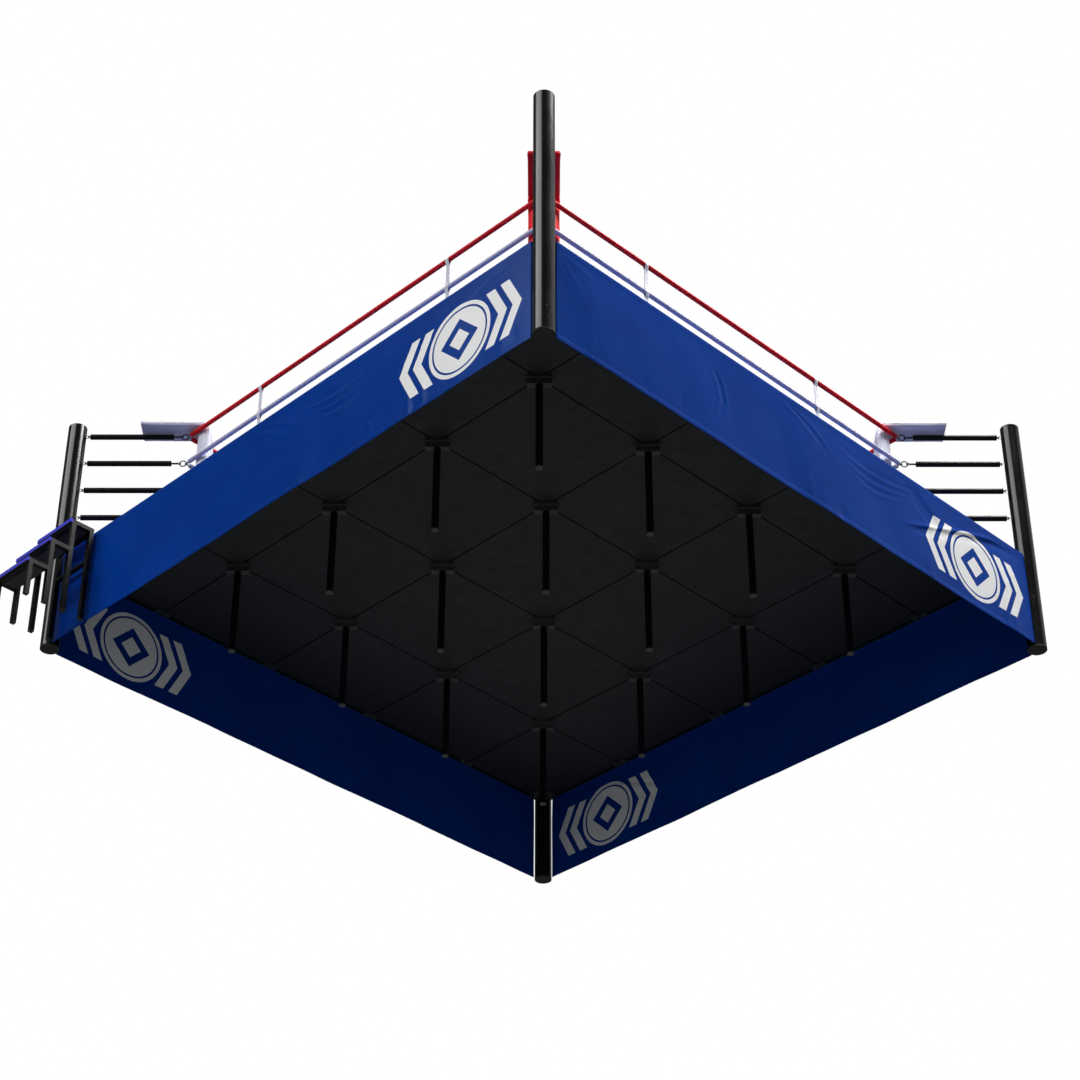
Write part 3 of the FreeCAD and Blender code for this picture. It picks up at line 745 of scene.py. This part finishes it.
# ------------------------------------------------------------------ canvas and mat
CANVAS_TOP, CANVAS_NOTCH = 0.9627, 2.901
CANVAS_THICK, CANVAS_ROUNDING = 0.0018, 0.016
# Corners of the canvas's way over the edge of the mat: (distance out, drop).
CANVAS_EDGE = np.array([(2.93, 0.0), (2.9985, 0.0), (3.0325, 0.0272), (3.0325, 0.0762)])


def edge_profile():
    """(distance out, drop) of the canvas from inside the ring over its edge, with its bends rounded."""
    corners, reach = CANVAS_EDGE, CANVAS_ROUNDING
    out = [corners[0]]
    for before, at, after in zip(corners[:-2], corners[1:-1], corners[2:]):
        a = at + (before - at) / np.linalg.norm(before - at) * reach
        b = at + (after - at) / np.linalg.norm(after - at) * reach
        for t in np.linspace(0, 1, 6):
            out.append((1 - t) ** 2 * a + 2 * t * (1 - t) * at + t * t * b)
    out.append((corners[-1] + out[-1]) / 2)
    out.append(corners[-1])
    return np.array(out)


def canvas_wrinkles(x, y):
    """Low wrinkles that run inward from the corners, on a very slight unevenness."""
    wrinkle = np.zeros(x.shape)
    draws = np.random.RandomState(5)
    for sx in (-1, 1):
        for sy in (-1, 1):
            for _ in range(9):
                angle = draws.uniform(0.1, 1.45)
                length = draws.uniform(0.5, 1.2)
                start = np.array([sx, sy]) * 2.84
                end = start - np.array([sx * math.cos(angle), sy * math.sin(angle)]) * length
                line = [start, (start + end) / 2, end]
                wrinkle += ridge(x, y, line, draws.uniform(0.001, 0.0028), 0.045)
    wrinkle += 0.0006 * np.sin(x * 3.1 + 1) * np.sin(y * 2.7)
    return wrinkle * (1 - smooth(np.maximum(abs(x), abs(y)), 2.8, 2.93))


def canvas_normals(places, drops):
    """Outward direction of the canvas at each crossing of the grid."""
    run = np.hypot(np.gradient(places), np.gradient(drops))
    lean = np.gradient(drops) / np.maximum(run, 1e-9)
    level = np.sqrt(np.clip(1 - lean ** 2, 0, 1))
    normal = np.zeros((len(places), len(places), 3))
    normal[..., 0] = lean[:, None]
    normal[..., 1] = lean[None, :]
    normal[..., 2] = np.minimum(level[:, None], level[None, :])
    return normal / np.linalg.norm(normal, axis=-1, keepdims=True)


def canvas():
    """One cloth over the mat, turned down behind the skirts on all four sides."""
    inner = np.concatenate([np.linspace(0, 2.82, 48), [2.86, CANVAS_NOTCH]])
    edge = edge_profile()
    half_places = np.concatenate([inner, edge[:, 0]])
    half_drops = np.concatenate([np.zeros(len(inner)), edge[:, 1]])
    places = np.concatenate([-half_places[:0:-1], half_places])
    drops = np.concatenate([half_drops[:0:-1], half_drops])
    count = len(places)
    flap = np.array([abs(i - (count - 1) // 2) >= len(inner) for i in range(count)])
    x, y = np.meshgrid(places, places, indexing="ij")
    drop = drops[:, None] + drops[None, :]
    top = np.stack([RX + x, RY + y, CANVAS_TOP - drop + canvas_wrinkles(x, y)], -1)
    under = top - canvas_normals(places, drops) * CANVAS_THICK

    def between_flaps(i, j):
        return (flap[i] or flap[i + 1]) and (flap[j] or flap[j + 1])

    faces = sheet_faces(count, count, between_flaps)
    points = np.concatenate([top.reshape(-1, 3), under.reshape(-1, 3)])
    used = sorted({v for f in faces for v in f})
    renumber = {v: i for i, v in enumerate(used)}
    build = Build()
    build.add(points[used], [tuple(renumber[v] for v in f) for f in faces])
    made = build.finish("ring_canvas_cloth", CANVAS, "canvas_blue")
    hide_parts("canvas")


def foam_mat():
    """One slab with rounded edges, notched at its corners for the posts."""
    outer, notch, low, high = 2.988, 2.906, 0.9205, 0.9598
    ring = []
    for sx, sy in ((-1, -1), (1, -1), (1, 1), (-1, 1)):
        a, b, c = (sx * notch, sy * outer), (sx * notch, sy * notch), (sx * outer, sy * notch)
        ring += [a, b, c] if sx * sy < 0 else [c, b, a]
    ring = [(RX + x, RY + y) for x, y in ring]
    shape = bmesh.new()
    bottom = shape.faces.new([shape.verts.new((x, y, low)) for x, y in ring])
    top = bmesh.ops.extrude_face_region(shape, geom=[bottom])
    raised = [v for v in top["geom"] if isinstance(v, bmesh.types.BMVert)]
    bmesh.ops.translate(shape, verts=raised, vec=(0, 0, high - low))
    bmesh.ops.recalc_face_normals(shape, faces=shape.faces)
    bmesh.ops.bevel(shape, geom=list(shape.edges), offset=0.006, segments=3, profile=0.5, affect="EDGES")
    bmesh.ops.triangulate(shape, faces=[f for f in shape.faces if len(f.verts) > 4])
    mesh = bpy.data.meshes.new("foam_mat_slab")
    shape.to_mesh(mesh)
    shape.free()
    mesh.materials.append(FOAM.material)
    made = place_in_scene("foam_mat_slab", mesh)
    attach(made, "ring")
    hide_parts("foam_mat")


canvas()
foam_mat()


# ------------------------------------------------------------------ ropes
ROPE_COLOURS = ["white", "blue", "white", "red"]
# Places of the two spacer straps along each side, to the right of its middle.
STRAP_PLACES = {
    "west": (1.155, -1.258),
    "south": (-1.080, 1.108),
    "east": (-1.150, 1.150),
    "north": (-1.150, 1.150),
}
COVER_RADIUS = 0.0208
# Gap between the middle of a corner ring and the end of a rope's cover.
ROPE_END = 0.034
# Cover size at its ends: (distance from the end, share of full size).
END_STEPS = [(0.0, 0.42), (0.001, 0.8), (0.004, 0.95), (0.012, 1.0)]
# Cover size beside a strap: (distance from the strap's middle, share of full size).
NECK_STEPS = [(0.0, 0.815), (0.0188, 0.815), (0.0197, 0.85), (0.0202, 0.93), (0.0212, 0.975), (0.025, 0.995)]


def rope_section():
    """Round cover with an overlapped closing seam along it."""
    ring = circle(COVER_RADIUS, 32, math.pi / 32)
    angles = np.degrees(np.arctan2(ring[:, 1], ring[:, 0]))
    lift = np.where((angles > -150) & (angles < -112), 1.009, 1.0)
    return ring * lift[:, None]


def cover_places(half, straps):
    """Places along a rope's cover, closer together at its ends and beside the straps."""
    s = np.linspace(-half + 0.03, half - 0.03, 180)
    for strap in straps:
        s = s[abs(s - strap) > 0.026]
        beside = [strap + sign * gap for sign in (-1, 1) for gap, _ in NECK_STEPS[1:]]
        s = np.concatenate([s, beside])
    ends = np.array([gap for gap, _ in END_STEPS])
    return np.concatenate([ends - half, np.sort(s), half - ends[::-1]])


def cover_sizes(s, half, straps, seed):
    """Share of the full radius at each place: tapered ends, slight unevenness and pinched necks."""
    taper = [share for _, share in END_STEPS]
    count = len(END_STEPS)
    size = np.ones(len(s))
    size[:count], size[-count:] = taper, taper[::-1]
    draws = np.random.RandomState(seed)
    wobble = np.interp(s, np.linspace(-half, half, 60), draws.uniform(-0.008, 0.004, 60))
    size[count:-count] += wobble[count:-count]
    for strap in straps:
        size = np.minimum(size, np.interp(abs(s - strap), *zip(*NECK_STEPS), right=2.0))
    return size


def rope_covers(level):
    """The four padded covers of one level."""
    build = Build()
    section = rope_section()
    half = ROPE_HALF - ROPE_END
    for side in SIDES:
        centre, outward, right = side_frame(side)
        s = cover_places(half, STRAP_PLACES[side])
        size = cover_sizes(s, half, STRAP_PLACES[side], level * 10 + len(side))
        path = centre + outward * ROPE_HALF + UP * rope_z(level, side) + right * s[:, None]
        build.sweep(section, path, outward, UP, scale=size)
    colour = ROPE_COLOURS[level]
    made = build.finish("rope_covers_%d" % (level + 1), ROPE[colour], "rope_" + colour)
    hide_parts("rope_level_%d" % (level + 1))


for level in LEVELS:
    rope_covers(level)


STRAP_THICK, STRAP_CLEAR = 0.0025, 0.0004
# Way of the strap from one rope to the next: (share of the gap, distance out).
BETWEEN_ROPES = [(0.17, 0.0046), (0.2, 0.002), (0.24, 0.00145), (0.5, 0.00145)]
BETWEEN_ROPES += [(1 - share, out) for share, out in BETWEEN_ROPES[-2::-1]]


def hug_line(side):
    """Closed line of a spacer strap round the four ropes of a side: (distance out, height)."""
    radius = NECK_RADIUS + STRAP_CLEAR + STRAP_THICK / 2
    lowest, highest = LEVELS[0], LEVELS[-1]
    half = []
    for level in LEVELS:
        z = rope_z(level, side)
        first = -90 if level == lowest else -20
        last = 90 if level == highest else 20
        for a in np.radians(np.linspace(first, last, 13 if level in (lowest, highest) else 8)):
            half.append((radius * math.cos(a), z + radius * math.sin(a)))
        if level < highest:
            gap = rope_z(level + 1, side) - z
            half += [(out, z + gap * share) for share, out in BETWEEN_ROPES]
    half = np.array(half)
    other = half[::-1][1:-1] * (-1, 1)
    return np.concatenate([half, other])


def spacer_straps():
    """Webbing loops, two on each side, that hold the four ropes at their spacing."""
    build = Build()
    section = slab_section(STRAP_WIDTH, 0.0024)
    for side in SIDES:
        centre, outward, right = side_frame(side)
        line = hug_line(side)
        tangent = np.roll(line, -1, 0) - np.roll(line, 1, 0)
        tangent /= np.linalg.norm(tangent, axis=1)[:, None]
        normal = np.stack([tangent[:, 1], -tangent[:, 0]], 1)
        for along in STRAP_PLACES[side]:
            base = centre + outward * ROPE_HALF + right * along
            path = base + outward * line[:, :1] + UP * line[:, 1:]
            rise = outward * normal[:, :1] + UP * normal[:, 1:]
            build.sweep(section, path, right, rise, closed=True)
    made = build.finish("spacer_webbing", WEBBING, "webbing_white", sharp=50)
    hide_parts("spacer_straps")


spacer_straps()


# ------------------------------------------------------------------ turnbuckle sleeves
SLEEVE_START, SLEEVE_LENGTH = 0.123, 0.759
SLEEVE_RADIUS, SLEEVE_BORE, SLEEVE_LIMIT = 0.0259, 0.0192, 0.026
SLEEVE_MIDDLES, SLEEVE_AROUND = 26, 36
# Rolled edge at each end of a sleeve: (distance from the end, radius).
SLEEVE_ENDS = [
    (0.0, SLEEVE_BORE + 0.0008),
    (0.0006, SLEEVE_BORE + 0.003),
    (0.0022, SLEEVE_RADIUS - 0.0012),
    (0.005, SLEEVE_RADIUS),
    (0.016, SLEEVE_RADIUS),
    (0.018, SLEEVE_RADIUS - 0.0012),
]


def sleeves():
    """Padded tubes over the turnbuckles, each closed by an overlapped flap along it."""
    build = Build()
    starts = [a for a, _ in SLEEVE_ENDS]
    middles = np.linspace(0.03, SLEEVE_LENGTH - 0.03, SLEEVE_MIDDLES)
    places = starts + list(middles) + [SLEEVE_LENGTH - a for a in starts[::-1]]
    end_radii = [r for _, r in SLEEVE_ENDS]
    angles = turn_angles(SLEEVE_AROUND)
    flap = 1 + 0.035 * ((angles > math.radians(200)) & (angles < math.radians(285)))
    for name in CORNERS:
        post, inward, across = corner_frame(name)
        spokes = across * np.cos(angles)[:, None] + UP * np.sin(angles)[:, None]
        for level in LEVELS:
            draws = np.random.RandomState(level + 40 + len(name))
            middle = SLEEVE_RADIUS - 0.0006 + draws.uniform(-0.0004, 0.0003, SLEEVE_MIDDLES)
            radii = end_radii + list(middle) + end_radii[::-1]
            base = post + UP * (ROPE_LOWEST + level * ROPE_PITCH) + inward * SLEEVE_START
            rings = []
            for t, r in zip(places, radii):
                reach = np.minimum(r * flap, SLEEVE_LIMIT)[:, None]
                rings.append(base + inward * t + spokes * reach)
            for t in (SLEEVE_LENGTH, 0.0):
                rings.append(base + inward * t + spokes * SLEEVE_BORE)
            build.add(np.concatenate(rings), tube_faces(len(rings), SLEEVE_AROUND, True))
    made = build.finish("turnbuckle_sleeve_covers", SLEEVE, "sleeve_black", sharp=60)
    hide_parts("turnbuckle_sleeves")


sleeves()


# ------------------------------------------------------------------ corner pads
PAD_HALF, PAD_BACK_HALF = 0.140, 0.055
PAD_BACK, PAD_FRONT, PAD_LOW, PAD_HIGH = 1.112, 1.232, 1.215, 2.380
HOOD_START, HOOD_THICK, PAD_BEND = 0.577, 0.050, 0.095
# How much smaller the blank is than the stuffed pad, and how far the stuffing may push it out.
SHRINK, SWELL_CAP = 0.005, 0.0085
WELT_INSET, WELT_RADIUS = 0.018, 0.0032
SIM_FRAMES = 20


def bend_arc(front, high):
    """Quarter round from the top of the pad to its front, as (t, z) places."""
    t, z = front - PAD_BEND, high - PAD_BEND
    angles = np.linspace(math.pi / 2, 0, 11)
    return [(t + PAD_BEND * math.cos(a), z + PAD_BEND * math.sin(a)) for a in angles]


def pad_blank():
    """Pad before it is stuffed, in corner directions: t inward, w across, z up."""
    shape = bmesh.new()
    s = SHRINK
    run = PAD_HALF - PAD_BACK_HALF
    front, high = PAD_FRONT - s, PAD_HIGH - 0.002
    bend = bend_arc(front, high)
    under, mid = PAD_HIGH - HOOD_THICK + 0.004, PAD_BACK + run
    ahead = [p for p in bend if p[0] > mid]
    side = [(mid, PAD_LOW + s), (mid, ahead[0][1])] + ahead + [(front, PAD_LOW + s)]
    above = [p for p in bend if p[1] > under + 0.004]
    hood = [(HOOD_START + s, under), (HOOD_START + s, high)] + above + [(above[-1][0], under)]
    back = [(PAD_BACK + s, PAD_BACK_HALF), (mid + 0.002, PAD_HALF - s - 0.001)]
    back += [(t, -w) for t, w in back[::-1]]

    def prism(low, top):
        a, b = [shape.verts.new(p) for p in low], [shape.verts.new(p) for p in top]
        shape.faces.new(a[::-1])
        shape.faces.new(b)
        for i in range(len(a)):
            j = (i + 1) % len(a)
            shape.faces.new((a[i], a[j], b[j], b[i]))

    for outline in (side, hood):
        prism([(t, -PAD_HALF + s, z) for t, z in outline], [(t, PAD_HALF - s, z) for t, z in outline])
    prism([(t, w, PAD_LOW + s) for t, w in back], [(t, w, under + 0.012) for t, w in back])
    bmesh.ops.recalc_face_normals(shape, faces=shape.faces)
    mesh = bpy.data.meshes.new("pad_blank")
    shape.to_mesh(mesh)
    shape.free()
    return place_in_scene("pad_blank", mesh)


def evaluated_mesh(obj):
    graph = bpy.context.evaluated_depsgraph_get()
    return bpy.data.meshes.new_from_object(obj.evaluated_get(graph), depsgraph=graph)


def mesh_points(mesh):
    points = np.zeros(len(mesh.vertices) * 3)
    mesh.vertices.foreach_get("co", points)
    return points.reshape(-1, 3)


def swelled(blank):
    """Points of the blank after a cloth simulation with pressure inside it."""
    cloth = blank.modifiers.new("cloth", "CLOTH")
    settings = cloth.settings
    settings.quality = 4
    settings.use_pressure = True
    settings.uniform_pressure_force = 4.0
    settings.tension_stiffness = settings.compression_stiffness = 18.0
    settings.shear_stiffness = 8.0
    settings.effector_weights.gravity = 0.0
    cloth.collision_settings.use_collision = False
    cloth.point_cache.frame_start, cloth.point_cache.frame_end = 1, SIM_FRAMES
    scene = bpy.context.scene
    for number in range(1, SIM_FRAMES + 1):
        scene.frame_set(number)
    points = mesh_points(evaluated_mesh(blank))
    scene.frame_set(1)
    blank.modifiers.clear()
    return points


def stuffed_pad():
    """Points and faces of one pad, swelled by a cloth simulation and held to its space."""
    blank = pad_blank()
    remesh = blank.modifiers.new("remesh", "REMESH")
    remesh.mode = "VOXEL"
    remesh.voxel_size = 0.007
    blank.data = evaluated_mesh(blank)
    blank.modifiers.clear()
    rest = mesh_points(blank.data)
    moved = swelled(blank)
    shift = moved - rest
    size = np.linalg.norm(shift, axis=1, keepdims=True)
    shift *= np.where(size > SWELL_CAP, SWELL_CAP / np.maximum(size, 1e-9), 1.0)
    moved = rest + shift
    t, _, z = moved.T
    under_hood = t < PAD_BACK - 0.02
    floor = PAD_HIGH - HOOD_THICK + 0.001
    z[:] = np.where(under_hood, np.maximum(z, floor), z)
    z[:] = np.minimum(z, PAD_HIGH + 0.004)
    t[:] = np.where(z < floor - 0.01, np.maximum(t, PAD_BACK - 0.002), t)
    blank.data.vertices.foreach_set("co", moved.ravel())
    blank.data.update()
    smoother = blank.modifiers.new("even", "SMOOTH")
    smoother.iterations = 3
    smoother.factor = 0.5
    once = blank.modifiers.new("round", "SUBSURF")
    once.levels = once.render_levels = 1
    mesh = evaluated_mesh(blank)
    faces = [tuple(p.vertices) for p in mesh.polygons]
    bpy.data.objects.remove(blank)
    return mesh_points(mesh), faces


def welt_path(tree, line, closed):
    """Places along a line, brought onto the pad's surface, with the surface's direction there."""
    line = np.asarray(line, float)
    if closed:
        line = np.concatenate([line, line[:1]])
    out, normals = [], []
    for a, b in zip(line[:-1], line[1:]):
        steps = max(2, int(np.linalg.norm(b - a) / 0.012))
        for k in range(steps):
            p = a + (b - a) * k / steps
            hit, normal, _, _ = tree.find_nearest(Vector(p))
            out.append(np.array(hit))
            normals.append(np.array(normal))
    if not closed:
        hit, normal, _, _ = tree.find_nearest(Vector(line[-1]))
        out.append(np.array(hit))
        normals.append(np.array(normal))
    out = np.array(out)
    for _ in range(4):
        inner = (np.roll(out, 1, 0) + np.roll(out, -1, 0) + 2 * out) / 4
        if not closed:
            inner[[0, -1]] = out[[0, -1]]
        out = inner
    return out, np.array(normals)


def welt_lines():
    """Two welts, in corner directions: round the front panel, and round the hood's open edges."""
    edge, foot, bend = PAD_HALF - WELT_INSET, PAD_LOW + WELT_INSET, PAD_HIGH - PAD_BEND
    panel = [(PAD_FRONT, w, z) for w, z in ((-edge, foot), (edge, foot), (edge, bend), (-edge, bend))]
    root, lip, outside, mid = PAD_BACK - 0.02, HOOD_START - 0.01, PAD_HALF + 0.01, PAD_HIGH - 0.025
    hood = [(t, w, mid) for t, w in ((root, -outside), (lip, -outside), (lip, outside), (root, outside))]
    return (panel, True), (hood, False)


def corner_pads():
    """Four stuffed pads with welts, one facing the ring in front of each post."""
    points, faces = stuffed_pad()
    tree = BVHTree.FromPolygons([Vector(p) for p in points], faces)
    for name in CORNERS:
        post, inward, across = corner_frame(name)
        turn = np.stack([inward, across, UP])
        colour = name.split("_")[0]
        build = Build()
        build.add(post + points @ turn, faces, points)
        pad = build.finish("corner_pad_" + name, PAD[colour], "pad_" + colour)
        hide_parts("pad_" + name)
        trim = Build()
        for line, closed in welt_lines():
            path, normals = welt_path(tree, line, closed)
            ahead = np.roll(path, -1, 0) - np.roll(path, 1, 0) if closed else np.gradient(path, axis=0)
            ahead = unit_rows(ahead)
            side = unit_rows(np.cross(ahead, normals))
            rise = np.cross(side, ahead)
            trim.sweep(circle(WELT_RADIUS, 8), post + path @ turn, side @ turn, rise @ turn, closed=closed)
        trim.finish("pad_welt_" + name, PAD[colour], "pad_" + colour)


corner_pads()


# Distance of a tie along its rope from the corner of the ropes, and its thickness.
TIE_ALONG, TIE_THICK = 0.1, 0.0018


def pad_ties():
    """Webbing round the two lowest ropes at each pad, each with a tab to the pad's back."""
    build = Build()
    hug = ROPE_RADIUS + 0.0015
    gap = (PAD_BACK - ROPE_CORNER - PAD_BACK_HALF) / math.sqrt(2)
    angles = turn_angles(28)
    for name in CORNERS:
        post, inward, across = corner_frame(name)
        for hand in (-1, 1):
            heading = (inward + across * hand) / math.sqrt(2)
            lift = ROPE_CROSS if abs(heading[1]) > abs(heading[0]) else -ROPE_CROSS
            aside = np.cross(UP, heading)
            for level in (0, 1):
                height = ROPE_LOWEST + level * ROPE_PITCH + lift
                base = post + inward * ROPE_CORNER + heading * TIE_ALONG + UP * height
                rise = aside * np.cos(angles)[:, None] + UP * np.sin(angles)[:, None]
                build.sweep(slab_section(0.025, TIE_THICK), base + rise * hug, heading, rise, closed=True)
                path = base + np.outer(np.linspace(hug, gap - 0.001, 6), -aside * hand)
                for offset in (-0.003, 0.003):
                    build.sweep(slab_section(0.024, TIE_THICK), path + UP * offset, heading, UP)
    made = build.finish("pad_tie_webbing", WEBBING, "webbing_white", sharp=50)
    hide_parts("pad_ties")


pad_ties()


# ------------------------------------------------------------------ stage, light and camera
def floor():
    """Pale floor that shows from above only, so that the ring can be seen from below it."""
    f = Finish("floor", Roughness=0.8, Specular_IOR_Level=0.1, Emission_Color=(1, 1, 1, 1))
    away = f.radius(f.part(f.place, 0), f.part(f.place, 1))
    f.set("Emission Strength", f.span(away, 7.0, 24.0, 0.5, 0.95))
    f.colour(f.mix(f.noise(0.6, 3.0), (0.42, 0.42, 0.42, 1), (0.45, 0.45, 0.45, 1)))
    back = f.node("ShaderNodeNewGeometry", {}, "Backfacing")
    clear = f.node("ShaderNodeBsdfTransparent", {})
    seen = f.node("ShaderNodeMixShader", {0: back, 1: f.shader.outputs[0], 2: clear})
    feed(f.tree, f.tree.nodes["Material Output"].inputs["Surface"], seen)
    mesh = bpy.data.meshes.new("floor")
    half, count = 60.0, 12
    wide = count + 1
    places = np.linspace(-half, half, wide)
    points = [(x, y, -0.001) for y in places for x in places]
    starts = [j * wide + i for j in range(count) for i in range(count)]
    faces = [(a, a + 1, a + wide + 1, a + wide) for a in starts]
    mesh.from_pydata(points, [], faces)
    mesh.materials.append(f.material)
    made = place_in_scene("floor", mesh)
    made.visible_diffuse = made.visible_glossy = made.visible_transmission = made.visible_shadow = False


def world():
    """White to the camera; for light, brighter above than below."""
    made = bpy.data.worlds.new("studio")
    bpy.context.scene.world = made
    made.use_nodes = True
    tree = made.node_tree
    place = add_node(tree, "ShaderNodeTexCoord", {}, "Generated")
    height = add_node(tree, "ShaderNodeSeparateXYZ", {0: place}, 2)
    share = add_node(tree, "ShaderNodeMapRange", {"Value": height, "From Min": -1.0})
    ramp = tree.nodes.new("ShaderNodeValToRGB")
    feed(tree, ramp.inputs[0], share)
    stops = ramp.color_ramp.elements
    stops[0].position, stops[0].color = 0.45, (0.21, 0.215, 0.22, 1)
    stops[1].position, stops[1].color = 0.56, (0.08, 0.08, 0.08, 1)
    stops.new(0.85).color = (0.08, 0.08, 0.08, 1)
    stops.new(0.97).color = (0.5, 0.5, 0.5, 1)
    lit = add_node(tree, "ShaderNodeBackground", {"Color": ramp.outputs[0]})
    seen = add_node(tree, "ShaderNodeBackground", {"Color": (1, 1, 1, 1)})
    direct = add_node(tree, "ShaderNodeLightPath", {}, "Is Camera Ray")
    choose = add_node(tree, "ShaderNodeMixShader", {0: direct, 1: lit, 2: seen})
    feed(tree, tree.nodes["World Output"].inputs["Surface"], choose)


def softbox(name, azimuth, elevation, distance, wide, high, power, aim=(0.0, 0.0)):
    """Area light at a compass place round a point of the ring, facing it."""
    data = bpy.data.lights.new(name, "AREA")
    data.shape = "RECTANGLE"
    data.size, data.size_y, data.energy = wide, high, power
    made = place_in_scene(name, data)
    a, e = math.radians(azimuth), math.radians(elevation)
    away = Vector((math.cos(a) * math.cos(e), math.sin(a) * math.cos(e), math.sin(e)))
    middle = Vector((RX + aim[0], RY + aim[1], 1.2))
    made.location = middle + away * distance
    made.rotation_mode = "QUATERNION"
    made.rotation_quaternion = away.to_track_quat("Z", "Y")
    made.visible_camera = False


def camera():
    """The photograph's view, from below the floor and in front of the red corner."""
    data = bpy.data.cameras.new("view")
    data.sensor_width, data.lens = 36.0, 86.39
    data.clip_start, data.clip_end = 0.5, 300.0
    made = place_in_scene("view", data)
    yaw, pitch, roll = (math.radians(v) for v in (45.0625, 34.968, 0.083))
    ahead = Vector((math.cos(pitch) * math.cos(yaw), math.cos(pitch) * math.sin(yaw), math.sin(pitch)))
    right = Vector((math.sin(yaw), -math.cos(yaw), 0.0))
    up = right.cross(ahead)
    tilted = right * math.cos(roll) + up * math.sin(roll)
    upright = -right * math.sin(roll) + up * math.cos(roll)
    turn = Matrix((tilted, upright, -ahead)).transposed().to_4x4()
    eye = (RX - 13.286, RY - 13.271, -11.983)
    made.matrix_world = Matrix.Translation(eye) @ turn
    bpy.context.scene.camera = made


floor()
world()
RED_CORNER = (-POST_HALF, -POST_HALF)
softbox("left_box", 166, 36, 40, 36, 21, 11900, RED_CORNER)
softbox("right_box", 341, 36, 40, 42, 18, 1100, RED_CORNER)
softbox("key_box", 285, 62, 14, 6, 6, 4300)
softbox("back_box", 45, 8, 40, 40, 10, 800)
camera()
bpy.context.scene.view_settings.view_transform = "Standard"

bpy.context.view_layer.update()
